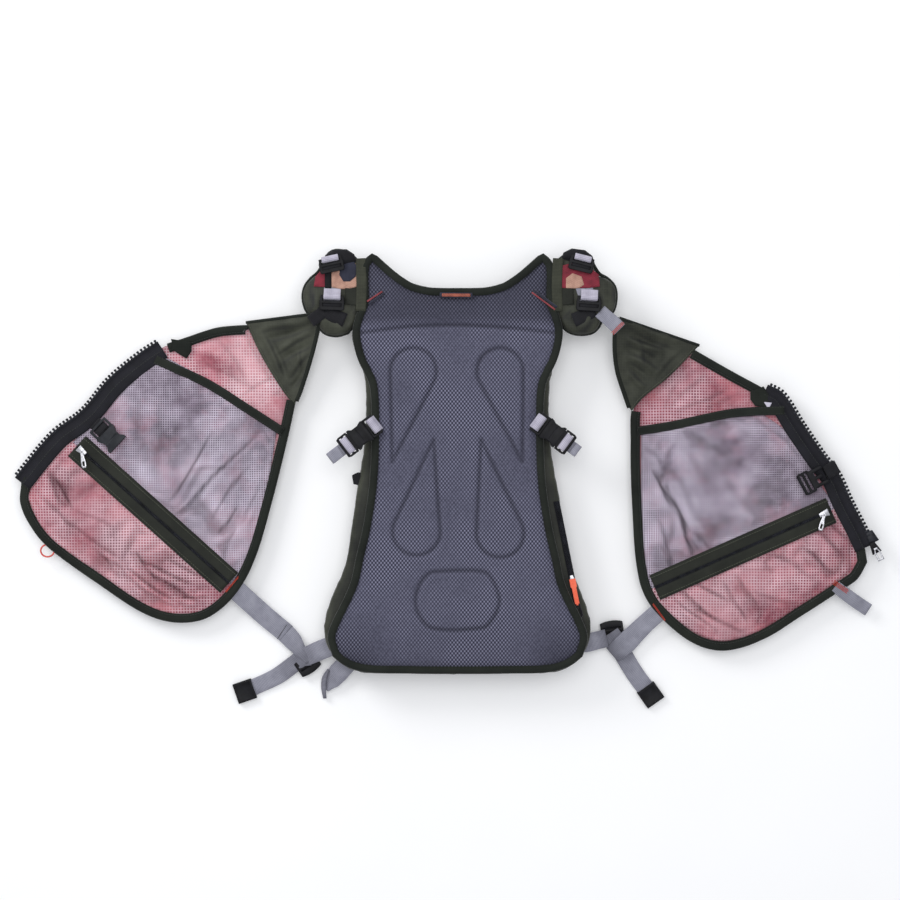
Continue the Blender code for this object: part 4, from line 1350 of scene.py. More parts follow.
YOKES = {
    "left": {"strap": [(-166, 206, 45.5), (-170, 184, 36), (-180, 148, 26), (-192, 112, 19.6),
                       (-197, 100, 18.9)],
             "seam": [(-258.5, 196, 19.2), (-239.5, 155, 19.4), (-214.5, 114, 19.4), (-200, 95, 19.2)],
             "folds": [(-172, 200, -246, 186, 4, 2.8), (-174, 192, -238, 174, 3.5, -2.6),
                       (-176, 184, -224, 160, 3.5, 3.4), (-178, 172, -216, 148, 3.5, -2.8),
                       (-182, 160, -210, 130, 4, 3.4), (-186, 142, -203, 114, 3, -2.2),
                       (-242, 186, -212, 126, 3.5, 2.8), (-230, 178, -206, 126, 3, -2.0),
                       (-196, 168, -190, 126, 3, 1.8)]},
    "right": {"strap": [(196, 200, 45.5), (191, 180, 36), (194, 140, 26), (206, 103, 19.6), (210, 92, 18.9)],
              "seam": [(295.5, 168, 19.2), (257.5, 129, 19.4), (226.5, 104, 19.4), (213, 88, 19.2)],
              "folds": [(200, 196, 282, 168, 4, 2.8), (200, 187, 268, 158, 3.5, -2.6),
                        (201, 178, 252, 158, 3.5, 3.4), (202, 168, 242, 150, 3.5, -2.6),
                        (203, 158, 246, 134, 4, 3.2), (204, 146, 234, 130, 3, -2.4),
                        (205, 134, 230, 116, 4, 3.0), (216, 180, 226, 138, 4, 2.0),
                        (270, 162, 236, 126, 3, 2.2)]},
}

for side in SIDES:
    yoke, body = YOKES[side], "front_" + side
    name = "yoke_" + side
    mesh = spanned(name, yoke["strap"], yoke["seam"], 58, 44, yoke["folds"], 0.9, 31.0 + SIDES[side])
    piece(name, mesh, OLIVE, body, "olive_fabric", "front_gusset_" + side)
    edge = curved(yoke["strap"], 3.5)
    rolled = round_profile(2.7, 10, 0.7)
    swept("yoke_edge_" + side, edge - (0, 0, 0.4), puckered(edge, rolled, 7.0, 0.25), BINDING, body,
          "binding")
    top = np.linspace(yoke["strap"][0], yoke["seam"][0], 22)
    swept("yoke_top_" + side, top - (0, 0, 0.3), puckered(top, np.array(rolled) * 0.7), BINDING, body,
          "binding")
    seam = curved(np.array(yoke["seam"])[:, :2], 3)
    row = grown(seam, 2.4 * SIDES[side], False)
    stitches("yoke_stitch_" + side, row, 20.4, OLIVE_THREAD, body, "olive_fabric", 3.0)
    print(name, len(mesh.polygons), "faces")

# %% Outer shells and their pockets
for side in SIDES:
    body, form = "front_" + side, fronts[side]
    name = "outer_shell_" + side
    below = lambda s: form["height"](s) - 1.8
    piece(name, cloth(name, grown(form["rim"], -1.4), 6.0, below, 0.9), OLIVE, body, "olive_fabric")
    name = "cargo_pocket_" + side
    rim = curved(grown(rim_of("outer_pocket_" + side), 3.0), 6.0, True)
    cargo = piece(name, flat_bag(name, rim, 1.0, 12.6, 4.5), OLIVE, None, "olive_fabric",
                  "outer_pocket_" + side)
    stuffed(cargo, 6.0, 3.0, 7.0, 0.0, 13.4)
    dress(cargo, OLIVE, body)
    print(name, len(cargo.data.polygons), "faces")

# %% [markdown]
# ## Shoulder pads
# The pads are short stuffed lobes of the same cloth, folded up beside the collar. Each is a closed
# bag that simulation fills, and then creases are pressed into its top where the straps pull. On it
# lie a black cap, a printed patch, two webbings and two ladder locks, each a layer above the last.

# %% Pads with creases


def crease(obj, folds, above, seed):
    """Presses folds into the part of a mesh above a height (mm), with painted shade at their foot and over
    the part below.
    """
    mesh = obj.data
    spots = np.array([v.co for v in mesh.vertices]) / MM
    share = np.clip((spots[:, 2] - above) / 6, 0, 1)
    rise, dark = fold_rise(spots[:, :2], folds)
    spots[:, 2] += share * (rise + 0.7 * rumple(spots, 15, seed) + 0.3 * rumple(spots, 6, seed + 1))
    mesh.vertices.foreach_set("co", (spots * MM).ravel())
    # Painted shade at the foot of each fold, and over the lower sides of the pad.
    tones = np.clip(1.4 * dark * share + 0.4 * (1 - share), 0, 1).astype(np.float32)
    mesh.attributes.new("tone", "FLOAT", "POINT").data.foreach_set("value", tones)
    mesh.update()


def layer(name, rim, z, thick, finish, body, slot, dome, seed):
    """A small flat cloth piece that crowns a little in its middle."""
    rim = curved(rim, 2.0, True, 30)

    def height(spots):
        edge = distance_to(spots, rim, True)
        return z + dome * (1 - np.exp(-edge / 3.0)) + 0.22 * rumple(spots, 8, seed)

    if np.cross(rim[1] - rim[0], rim.mean(0) - rim[0]) < 0:
        rim = rim[::-1]
    return piece(name, cloth(name, rim, 2.0, height, thick), finish, body, slot)


PAD_FOLDS = {
    "left": [(-184, 250, -178, 210, 5, -3.0), (-176, 206, -168, 232, 4, 2.4), (-160, 206, -136, 184, 6, 3.4),
             (-133, 216, -122, 198, 4, -2.6), (-152, 196, -128, 204, 4, -2.4),
             (-182, 262, -164, 246, 4, 2.2)],
    "right": [(188, 250, 184, 210, 5, -3.0), (180, 206, 174, 232, 4, 2.4), (165, 206, 140, 184, 6, 3.4),
              (135, 216, 124, 198, 4, -2.6), (156, 196, 130, 204, 4, -2.4), (186, 260, 168, 246, 4, 2.2)],
}
PAD_RIMS = {
    "left": [(-121, 270), (-127, 276), (-134, 281), (-148, 283), (-156, 279.5), (-161, 272), (-165, 264),
             (-170, 256), (-178, 249), (-185, 240), (-188, 229), (-187, 218), (-183, 208), (-176, 203),
             (-169, 199), (-168, 188), (-160, 181), (-146, 178.5), (-133, 182), (-124, 194), (-119, 212),
             (-118, 240)],
    "right": [(118, 240), (119, 212), (124, 196), (130, 187), (138, 182), (150, 180), (164, 182.5),
              (172, 190), (176, 198), (184, 203), (190, 210), (193, 225), (191, 239), (182, 249), (173, 254),
              (168, 261), (162, 271), (156, 277), (141, 279), (130, 276.5), (121, 270)],
}
for side in SIDES:
    rim = curved(PAD_RIMS[side], 4.0, True)
    name = "pad_cloth_" + side
    pad = piece(name, flat_bag(name, grown(rim, 1.0), 28, 45.0, 4.0), OLIVE, None, "olive_fabric",
                "shoulder_pad_" + side)
    stuffed(pad, 3.6, 2.2, 4.0, 24.0, 46.4)
    crease(pad, PAD_FOLDS[side], 38, 41.0 + SIDES[side])
    dress(pad, OLIVE, "backpack")
    cord_piece("pad_piping_" + side, level_line(grown(rim, -0.6), 37.0), 2.2, BINDING, "backpack", "binding",
               True)
    print(name, len(pad.data.polygons), "faces")

# %% Caps, patches and webbing on the pads
CAPS = {"left": [(-163, 266), (-160, 276), (-149, 283), (-134, 283), (-125, 277), (-121, 268), (-132, 265),
                 (-150, 262)],
        "right": [(166, 266), (163, 275), (154, 282), (138, 284), (128, 279), (126, 272), (138, 268),
                  (152, 264)]}
PATCHES = {
    "left": [("tan", TAN_CLOTH, [(-153, 236), (-153, 262), (-138, 266), (-121, 266), (-120, 238),
                                 (-135, 235)], 47.6, 0.5),
             ("red", RED_CLOTH, [(-174, 238), (-172, 250), (-165, 258), (-159, 260), (-159, 237)], 47.6, 0.5),
             ("bar", BLACK_CLOTH, [(-160.5, 235), (-160.5, 262), (-152.5, 262), (-152.5, 235)], 48.0, 0.6),
             ("spot", NAVY_CLOTH, [(-143, 252), (-141, 262), (-134, 270), (-126, 270), (-122, 262),
                                   (-123, 250), (-130, 244), (-138, 244)], 48.4, 0.5)],
    "right": [("red", RED_CLOTH, [(124, 236), (122, 262), (140, 267), (158, 262), (171, 252), (172, 238),
                                  (158, 236)], 47.6, 0.5),
              ("tan", TAN_CLOTH, [(131, 236), (131, 248), (139, 254), (150, 250), (153, 240), (146, 236)],
               48.1, 0.4),
              ("bar", BLACK_CLOTH, [(120.5, 234), (119.5, 262), (124, 263), (125, 234)], 48.0, 0.5)],
}
for side in SIDES:
    layer("pad_cap_" + side, CAPS[side], 47.4, 3.0, BLACK_CLOTH, "backpack", "binding", 4.2, 3.0)
    for word, finish, rim, z, dome in PATCHES[side]:
        layer(f"pad_patch_{word}_{side}", rim, z, 1.6, finish, "backpack", "olive_fabric", dome, 8.0)
    across = lambda x: x if side == "left" else 4.0 - x
    square = [(across(x), y) for x, y in [(-137, 216), (-136, 236), (-120, 236), (-119, 215)]]
    layer("pad_square_" + side, square, 47.6, 1.6, OLIVE_BAND, "backpack", "olive_fabric", 0.8, 4.0)
    route = curved([(across(-117.5), 272, 47.4), (across(-116.0), 240, 48.4), (across(-117.0), 208, 47.4)], 4)
    swept("collar_strap_" + side, route, band_profile(12.5, 1.5), OLIVE_WEBBING, "backpack", "olive_fabric")
    route = curved([(across(-160), 210, 47.0), (across(-150), 203, 48.0), (across(-136), 197, 47.4)], 3)
    swept("pad_sling_" + side, route, band_profile(17, 1.6, bow=0.8), BLACK_WEBBING, "backpack", "binding")
print("pads dressed")

# %% [markdown]
# ## Locks, glides and buckles
# Webbing is held by small acetal mouldings: ladder locks on the shoulders, tri-glides at the hips,
# side-release buckles on the compression straps and one across the chest. All are plates with
# slots, so each starts as a flat grid. The cells of its slots are deleted, the rest is extruded to
# the plate's thickness, its bars are pulled to shape, and its edges are rounded.

# %% A plate with slots


def slotted_plate(name, xs, ys, holes, thick):
    """A plate on the bench: xs and ys are the grid's lines in mm, holes the (column, row) cells left out."""
    clear_bench()
    bpy.ops.mesh.primitive_grid_add(x_subdivisions=len(xs) - 1, y_subdivisions=len(ys) - 1, size=2)
    obj = bpy.context.object
    obj.name = name
    for vert in obj.data.vertices:
        i, j = round((vert.co.x + 1) / 2 * (len(xs) - 1)), round((vert.co.y + 1) / 2 * (len(ys) - 1))
        vert.co = Vector((xs[i], ys[j], 0)) * MM
    inside = lambda m, c: xs[c[0]] < m.x < xs[c[0] + 1] and ys[c[1]] < m.y < ys[c[1] + 1]
    if holes:
        pick(obj, lambda m: any(inside(m, cell) for cell in holes))
        bpy.ops.mesh.delete(type="FACE")
        bpy.ops.mesh.select_all(action="SELECT")
    else:
        pick(obj, lambda m: True)
    extrude((0, 0, thick))
    bpy.ops.mesh.select_all(action="SELECT")
    bpy.ops.mesh.normals_make_consistent(inside=False)
    done()
    return obj


def nudge(obj, test, by):
    """Moves the points (mm) that pass the test."""
    pick(obj, test, "VERT")
    bpy.ops.transform.translate(value=Vector(by) * MM)
    done()


def squeeze(obj, test, by, centre):
    """Scales the points (mm) that pass the test about a centre."""
    pick(obj, test, "VERT")
    resize(by, centre)
    done()


def copied(model, name, finish, body, slot, stands_for, at, turn):
    """A copy of a bench model with its own mesh, set down at a place (mm)."""
    obj = piece(name, model.data.copy(), finish, body, slot, stands_for, smooth=False)
    return set_down(obj, at, turn)


def spare(model, name):
    """A second model of the same shape."""
    other = model.copy()
    other.data, other.name = model.data.copy(), name
    bpy.context.scene.collection.objects.link(other)
    return other


def route_at(at, turn, points):
    """Local (x, z) or (x, y, z) points of a strap, placed at a buckle."""
    c, s = math.cos(math.radians(turn)), math.sin(math.radians(turn))
    full = [p if len(p) == 3 else (p[0], 0.0, p[1]) for p in points]
    return np.array([(at[0] + c * x - s * y, at[1] + s * x + c * y, z) for x, y, z in full])


def ahead(place, far):
    """The spot that far (mm) in front of an (x, y, turn) place."""
    x, y, turn = place
    return x + far * math.cos(math.radians(turn)), y + far * math.sin(math.radians(turn))


def metres(spot):
    return tuple(Vector(spot) * MM)


lock_model = slotted_plate("lock_model", [-15, -11.5, 11.5, 15], [0, 2.5, 6, 9.5, 13, 16], {(1, 1), (1, 3)},
                           3.4)
pick(lock_model, lambda m: m.y < 0.1)
extrude((0, -2.0, 0.9))
resize((0.9, 1, 0.6), (0, -2.0, 2.4))
nudge(lock_model, lambda m: 5.9 < m.y < 9.6 and m.z > 3, (0, 0, 0.7))
squeeze(lock_model, lambda m: m.y > 12.9, (0.94, 1, 0.85), (0, 14, 1.7))
soften(lock_model, 0.75, 3)
print("ladder lock:", len(lock_model.data.polygons), "faces")

# %% Shoulder locks and the webbing round their bars
LOCKS = {"left": {"upper": (-151, 257, 12), "shoulder": (-152, 211, -2)},
         "right": {"upper": (148, 258, -14), "shoulder": (158, 210, -4)}}
LOCK_LEVEL = 49.3
WRAP = [(17.8, 49.2), (17.4, 52.4), (15.6, 54.4), (12.6, 54.0), (11.4, 51.6), (11.2, 49.4)]
for side in SIDES:
    for which, (x, y, turn) in LOCKS[side].items():
        body = f"{which}_lock_{side}"
        copied(lock_model, f"{which}_lock_moulding_{side}", BLACK_PLASTIC, body, "black_plastic", body,
               (x, y, LOCK_LEVEL), turn)
        start = WRAP[:2] if which == "upper" else [(24, 49.4), (20.5, 50.6)]
        wrap = route_at((x, y), turn + 90, start + WRAP[2:])
        swept(f"{which}_wrap_{side}", curved(wrap, 1.2, False, 70), band_profile(20.5, 1.5), PALE_WEBBING,
              body, "webbing")
        fill = route_at((x, y), turn + 90, [(0.8, 50.4), (3.0, 51.4), (6.0, 51.8), (9.0, 50.4)])
        swept(f"{which}_lock_web_{side}", curved(fill, 1.5), band_profile(22.4, 1.2), BLACK_WEBBING, body,
              "binding")
    upper, lower = LOCKS[side]["upper"], LOCKS[side]["shoulder"]
    route = curved([(upper[0], upper[1] + 16, 47.0), (upper[0], upper[1] - 4, 46.9),
                    (lower[0], lower[1] + 10, 47.0), (lower[0], lower[1] + 1, 47.0)], 5)
    swept("shoulder_strap_" + side, route, band_profile(20, 1.2), WEBBING, "backpack", "webbing",
          "shoulder_webbing_" + side)
print("locks done")

# %% Side-release buckles: the socket
socket_model = start_cube("socket_model", (22, 28, 8.6), (11, 0, 4.6))
pick(socket_model, lambda m: m.x > 21.9)
bpy.ops.mesh.inset(thickness=1.7 * MM)
extrude((-17, 0, 0))
pick(socket_model, lambda m: True)
for at in (4.0, 9.0, 14.0, 19.0):
    bpy.ops.mesh.select_all(action="SELECT")
    bpy.ops.mesh.bisect(plane_co=(at * MM, 0, 0), plane_no=(1, 0, 0))
squeeze(socket_model, lambda m: 8 < m.x < 15, (1, 0.74, 1), (11, 0, 4.5))
squeeze(socket_model, lambda m: 3 < m.x < 5, (1, 0.93, 1), (4, 0, 4.5))
pick(socket_model, lambda m: m.z > 8.8 and 9 < m.x < 14)
bpy.ops.mesh.inset(thickness=1.6 * MM)
extrude((0, 0, -0.5))
soften(socket_model, 0.8, 2)
ring = slotted_plate("ring_part", [-8.2, -5.4, 3.2, 6.4], [-13.2, -10.4, 10.4, 13.2], {(1, 1)}, 3.4)
soften(ring, 0.7, 2)
set_down(ring, (-6, 0, 0.6))
bare_socket = spare(socket_model, "bare_socket_model")
bare_ring = spare(ring, "bare_ring_model")
join("socket_model", socket_model, ring)

# %% Side-release buckles: the prongs
PRONG_X, PRONG_Y = [-17, -13, -4, 1, 3.5, 6.5, 9.5, 12.5, 16], [-14, -11.6, -7.5, -2, 2, 7.5, 11.6, 14]
left_out = {(c, r) for c in range(3) for r in (0, 6)} | {(c, r) for c in range(2) for r in (2, 4)} | {(0, 3)}
left_out |= {(c, r) for c in (4, 6) for r in range(1, 6)}
prong_model = slotted_plate("prong_model", PRONG_X, PRONG_Y, left_out, 4.4)
squeeze(prong_model, lambda m: m.x > 15.9, (1, 0.9, 0.75), (16, 0, 2.2))
soften(prong_model, 0.7, 2)
print("buckle:", len(socket_model.data.polygons), "and", len(prong_model.data.polygons), "faces")

# %% Compression buckles on the pack's sides
BUCKLES = {"left": (-104, 68, 217.5), "right": (101, 71, -36.5)}
for side in SIDES:
    x, y, turn = place = BUCKLES[side]
    bar = ahead(place, 28)
    held = "buckle_prong_" + side
    copied(socket_model, "compression_housing_" + side, BLACK_PLASTIC, "backpack", "black_plastic",
           "compression_socket_" + side, (*ahead(place, 6), 49.6), turn)
    copied(prong_model, "compression_fork_" + side, BLACK_PLASTIC, held, "black_plastic",
           "compression_prong_" + side, (*bar, 51.8), turn)
    loop = route_at((x, y), turn, [(-10, 50.4), (-8.4, 51.6), (-6.8, 54.6), (-4.0, 56.0), (-0.8, 55.4),
                                   (1.2, 52.6)])
    swept("compression_loop_web_" + side, curved(loop, 1.3, False, 80), band_profile(19.5, 1.5), PALE_WEBBING,
          "backpack", "webbing", "compression_loop_" + side)
    over = route_at(bar, turn, [(12.4, 51.4), (11.9, 55.6), (9.9, 57.4), (6.1, 57.4), (4.1, 55.6),
                                (3.8, 52.4)])
    swept("compression_bar_" + side, curved(over, 1.1, False, 80), band_profile(21, 1.4), PALE_WEBBING, held,
          "webbing")
    reach = 35 if side == "left" else 27
    tail = route_at(bar, turn, [(4, 50.4), (12, 50.2), (20, 50.6), (reach - 3, 50.0), (reach, 50.8),
                                (reach - 1.6, 52.4), (reach - 6, 52.6), (19, 52.5)])
    swept("compression_tail_web_" + side, curved(tail, 1.6, False, 100), band_profile(15, 1.4), WEBBING, held,
          "webbing", "compression_tail_" + side)
print("compression straps done")

# %% [markdown]
# ## The chest buckle
# Its two halves hang on short black loops beside the centre zip. The socket is the same moulding as
# the compression buckle's, but its ring stays with the loop and only the housing flips up. The
# loop of the prongs is soft, and it is one piece between the front and the prongs.

# %% The chest buckle's halves
CHEST = {"left": (-424, 56, -43), "right": (441, 8, 208)}
for side in SIDES:
    x, y, turn = place = CHEST[side]
    web = route_at((x, y), turn, [(-26, 21.6), (-20, 22.6), (-14, 25.4), (-9.6, 25.2), (-8.6, 23.2),
                                  (-13, 22.3), (-20, 21.8)])
    loop = swept("chest_loop_" + side, curved(web, 1.6, False, 100), band_profile(17, 1.3), BLACK_WEBBING,
                 "front_left" if side == "left" else None, "zip_tape", "chest_webbing_" + side)
    if side == "right":
        metres((*ahead(place, -21), 23))
        metres((*ahead(place, -12), 23))
        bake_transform(loop)
spot, turn = (*ahead(CHEST["left"], -8), 21.4), CHEST["left"][2]
copied(bare_socket, "chest_housing", GREY_PLASTIC, "chest_socket", "black_plastic", "chest_socket", spot,
       turn)
copied(bare_ring, "chest_ring", GREY_PLASTIC, "front_left", "black_plastic", (), spot, turn)
copied(prong_model, "chest_fork", BLACK_PLASTIC, "chest_prong", "black_plastic", "chest_prong",
       (*ahead(CHEST["right"], 9), 23.6), CHEST["right"][2])
print("chest buckle done")

# %% [markdown]
# ## Straps at the hips
# Grey webbing joins the pack's corners to the fronts. Each runs through a tri-glide and ends in a
# moulded cap. Webbing is stiff across and limp along, so it keeps its width where it bends and
# folds sharply where it doubles back. A strap is therefore one strip with its own width, height and
# lean at each point of its route. Where a strap crosses the line that a front folds on, it is a
# piece of its own between the pack and the front.

# %% Routes with a width at each point


def webbing(name, route, widths, finish, body, stands_for=(), lean=None, thick=1.6, slot="webbing",
            tones=None):
    """A strap through 3D points, with a width (mm) and a sideways lean (degrees) at each of them."""
    path = curved(route, 2.6, False, 75)
    share = np.linspace(0, 1, len(path))
    knots = np.linspace(0, 1, len(route))
    wide = np.interp(share, knots, widths)
    along = np.gradient(path, axis=0)
    along /= np.linalg.norm(along, axis=1)[:, None]
    turn = np.radians(np.interp(share, knots, lean if lean is not None else [0] * len(route)))
    across = np.cross(along, (0.0, 0.0, 1.0))
    across /= np.linalg.norm(across, axis=1)[:, None]
    ups = np.cross(across, along) * np.cos(turn)[:, None] + across * np.sin(turn)[:, None]
    profiles = [band_profile(w, thick, bow=0.25) for w in wide]
    # The last list is painted shade, one value at each point of the route, darker where a strap runs under
    # others or into a crease.
    shade = None if tones is None else np.interp(share, knots, tones)
    return swept(name, path, profiles, finish, body, slot, stands_for, ups=ups, tones=shade)


HIPS = {
    "left": {"front": ([(-272, -130, 16.2), (-236, -163, 11), (-210, -185, 7.6)], [24.5, 24.5, 24.0]),
             "fold": ([(-212, -183.5, 7.4), (-203, -193, 8.2), (-192, -208, 9.4), (-184, -221, 9.8)],
                      [24, 22.5, 15, 5]),
             "pack": ([(-146, -196, 21), (-158, -201, 14.5), (-171, -206.5, 10.8), (-187, -213.8, 9.2)],
                      [23, 24, 24, 23]),
             "tail": ([(-180, -214, 9.4), (-191, -215.5, 8.8), (-200, -222, 6.4), (-222, -238, 3.4),
                       (-254, -253, 2.6)], [20, 21, 21, 20, 20]),
             "seam": ((-209.5, -174.0), (-221.0, -191.5)), "glide": (-184, -223, 35),
             "cap": (-249, -252, 199)},
    "right": {"front": ([(246, -158, 16.2), (231, -172, 12), (214, -189, 9.0)], [23, 23, 25]),
              "fold": ([(216, -187, 9.2), (206, -197, 10.2), (197, -205, 9.6), (190, -211, 6.8)],
                       [25, 26, 25, 22]),
              "pack": ([(146, -196, 21), (158, -195.8, 14.5), (170, -193.5, 11), (183, -190.5, 9.0)],
                       [23, 23, 22, 22]),
              "tail": ([(188, -184, 8.8), (196, -196, 7.4), (205, -213, 4.8), (219, -236, 3.2),
                        (234, -256, 2.6)], [21, 23, 22, 22, 22]),
              "seam": ((195.0, -213.6), (213.0, -203.0)), "glide": (190, -181, 8), "cap": (230, -250, -55)},
}
for side in SIDES:
    hip, body = HIPS[side], "front_" + side
    webbing("side_webbing_" + side, *hip["front"], WEBBING, body, "lower_webbing_" + side)
    webbing("pack_webbing_" + side, *hip["pack"], WEBBING, "backpack", "lower_strap_" + side,
            tones=[0.5, 0.05, 0.0, 0.5])
    webbing("tail_webbing_" + side, *hip["tail"], WEBBING, "backpack", "strap_tail_" + side,
            tones=[0.6, 0.5, 0.15, 0.0, 0.0])
    route, widths = hip["fold"]
    fold = webbing("fold_webbing_" + side, route, widths, WEBBING, None, tones=[0.0, 0.08, 0.4, 0.6])
    metres(route[-1])
    metres(route[0])
    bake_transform(fold)
stitches("webbing_seam_left", straight(HIPS["left"]["seam"], 8), np.linspace(9.2, 9.6, 8), BLACK_THREAD,
         "front_left", "webbing", 2.4)
stitches("webbing_seam_right", straight(HIPS["right"]["seam"], 8), 6.6, BLACK_THREAD, "backpack", "webbing",
         2.4)
stub = [(-128, -214, 18), (-137, -223, 10.5), (-148, -235, 7.6), (-157, -246, 5.6), (-162, -254, 4.4)]
webbing("waist_webbing", stub, [23, 24, 25, 22, 9], WEBBING, "backpack", "waist_strap_stub",
        lean=[0, 2, 6, 12, 20], tones=[0.5, 0.1, 0.0, 0.15, 0.3])
fold = [(-158.5, -229, 7.6), (-163.5, -240, 6.8), (-164.5, -252, 5.6), (-163, -265, 4.2)]
webbing("waist_webbing_fold", fold, [3, 7, 7.5, 5], WEBBING, "backpack", lean=[20, 30, 34, 34],
        tones=[0.6, 0.55, 0.55, 0.7])
print("hip straps done")

# %% Tri-glides and strap ends
GLIDE_X = [-14, -11, -7, -2.5, 2.5, 7, 11, 14]
glide_model = slotted_plate("glide_model", GLIDE_X, [-9.4, -3.6, -1.4, 1.4, 3.6, 9.4],
                            {(c, r) for c in range(1, 6) for r in (1, 3)}, 3.8)
for x in GLIDE_X:
    lift = 2.4 * (1 - (x / 14) ** 2)
    nudge(glide_model, lambda m: abs(m.x - x) < 0.1 and m.y > 4, (0, lift, 0))
    nudge(glide_model, lambda m: abs(m.x - x) < 0.1 and m.y < -4, (0, -lift, 0))
soften(glide_model, 0.6, 2)
cap_model = start_cube("cap_model", (23.5, 25, 5.6), (13.2, 0, 3.0))
pick(cap_model, lambda m: m.z > 5.7)
bpy.ops.mesh.inset(thickness=2.6 * MM)
extrude((0, 0, -0.5))
pick(cap_model, lambda m: m.x < 1.6)
bpy.ops.mesh.inset(thickness=1.2 * MM)
extrude((4, 0, 0))
soften(cap_model, 1.1, 3)
for side in SIDES:
    x, y, turn = HIPS[side]["glide"]
    copied(glide_model, "tri_glide_" + side, BLACK_PLASTIC, "backpack", "black_plastic",
           "lower_glide_" + side, (x, y, 4.2), turn)
    under_bars = route_at((x, y), turn + 90, [(-4.2, 5.4), (0, 5.6), (4.2, 5.4)])
    swept("glide_web_" + side, under_bars, band_profile(24, 1.2), BLACK_WEBBING, "backpack", "binding")
    x, y, turn = HIPS[side]["cap"]
    copied(cap_model, "strap_end_" + side, BLACK_PLASTIC, "backpack", "black_plastic", "tail_cap_" + side,
           (x, y, 0.1), turn)
print("glides and ends done")

# %% [markdown]
# ## Zip sliders and pulls
# A slider is two plates joined by a post, and narrows where the closed chain leaves it. A bridge
# on top holds the pull. The front pockets have plated sliders with a flat pull that has a hole, the
# pack has a moulded orange pull, and the centre zip a black slider with a wire-like ring.

# %% Sliders


def slider_model(name, long, wide, tall):
    body = start_cube(name, (long, wide, tall * 0.36), (0, 0, tall * 0.18))
    pick(body, lambda m: m.x > long / 2 - 0.01)
    resize((1, 0.55, 1), (long / 2, 0, 0))
    top = start_cube(name + "_top", (long, wide, tall * 0.3), (0, 0, tall * 0.62))
    pick(top, lambda m: m.x > long / 2 - 0.01)
    resize((1, 0.5, 1), (long / 2, 0, 0))
    post = start_cube(name + "_post", (long * 0.3, wide * 0.28, tall * 0.6), (long * 0.22, 0, tall * 0.4))
    bridge = start_cube(name + "_bridge", (long * 0.62, wide * 0.22, tall * 0.26), (0, 0, tall * 0.87))
    for part in (body, top, post, bridge):
        soften(part, tall * 0.09, 2)
    return join(name, body, top, post, bridge)


pocket_slider_model = slider_model("pocket_slider_model", 12, 9, 3.2)
pull_model = slotted_plate("pull_model", [-0.7, 2.6, 5.5, 13, 18.5, 21], [-3, -1.2, 1.2, 3], {(3, 1), (0, 1)},
                           1.5)
squeeze(pull_model, lambda m: 2 < m.x < 6, (1, 0.62, 1), (4, 0, 0.7))
squeeze(pull_model, lambda m: m.x > 20, (1, 0.7, 1), (21, 0, 0.7))
soften(pull_model, 0.35, 2)
SLIDERS = {"left": ((-458.3, 39.0), -41.9, -80), "right": ((447.1, -37.6), 23.7, -104)}
for side in SIDES:
    (x, y), turn, hang = SLIDERS[side]
    copied(pocket_slider_model, "pocket_slide_" + side, METAL, "pocket_slider_" + side, "silver_metal",
           "pocket_slider_" + side, (x, y, 23.1), turn + 180 * (side == "right"))
    copied(pull_model, "pocket_tag_" + side, METAL, "pocket_pull_" + side, "silver_metal",
           "pocket_pull_" + side, (x, y, 26.6), hang)
print("pocket sliders done")

# %% The pack's side zip
PACK_ZIP = ((145.0, -146.0), (120.0, -22.0))
one, two = (np.array(p) for p in PACK_ZIP)
zip_turn = math.degrees(math.atan2(*(two - one)[::-1]))
run = (two - one) / np.linalg.norm(two - one)
line = straight(PACK_ZIP, 40)
swept("pack_zip_tape", level_line(line, 36.4), band_profile(7.5, 0.8), ZIP_TAPE, "backpack", "zip_tape",
      "pack_side_zip")
loops = along_line(grown(line, 0.8, False), 37.2, 1.7) + along_line(grown(line, -0.8, False), 37.2, 1.7, 0.85)
piece("pack_zip_coil", repeated("pack_zip_coil", coil_model, loops), TEETH_PLASTIC, "backpack",
      "black_plastic")
small_slider = slider_model("small_slider_model", 10, 7, 3.0)
spot = one + run * 30
copied(small_slider, "pack_slide", METAL, "pack_slider", "silver_metal", "pack_slider", (*spot, 37.8),
       zip_turn)
tag = slotted_plate("tag_model", [-32, -29, -10.5, -9, -1.5, 0.7], [-3.9, -2.6, 2.6, 3.9], set(), 2.4)
squeeze(tag, lambda m: m.x < -10, (1, 0.72, 1), (-20, 0, 1.2))
soften(tag, 0.8, 2)
copied(tag, "pack_tag", ORANGE, "pack_pull", "orange_trim", "pack_pull", (*spot, 41.2), zip_turn)
ends = route_at(spot, zip_turn, [(-30, 1.6, 42.4), (-38, 2.6, 41.6), (-45, 1.6, 40.4), (-47, -1.0, 40.2),
                                 (-44, -3.0, 40.6), (-37, -2.4, 41.6), (-30, -1.6, 42.4)])
cord_piece("pack_tag_cord", curved(ends, 1.5, False, 90), 1.5, BLACK_CLOTH, "pack_pull", "binding")
print("pack zip done")

# %% The centre zip's slider, ring and box
ZIP_FOOT, FOOT_TURN = (509.0, -79.0), math.degrees(math.atan2(0.888, -0.46))
main_slide = slider_model("main_slider_model", 14, 12, 4.0)
copied(main_slide, "main_slide", BLACK_PLASTIC, "main_slider", "black_plastic", "main_slider",
       (*ZIP_FOOT, 21.3), FOOT_TURN)
ring_model = slotted_plate("ring_model", [-17, -14.5, -6, -2.5, 0], [-4, -2, 2, 4], {(1, 1), (2, 1)}, 1.9)
squeeze(ring_model, lambda m: m.x > -3, (1, 0.6, 1), (0, 0, 1))
soften(ring_model, 0.7, 2)
copied(ring_model, "main_ring", METAL, "main_pull", "silver_metal", "main_pull", (*ZIP_FOOT, 25.6), FOOT_TURN)
box_model = start_cube("box_model", (15, 13, 3.4), (0, 0, 0))
pick(box_model, lambda m: m.x > 7.4)
resize((1, 0.7, 0.8), (7.5, 0, 0))
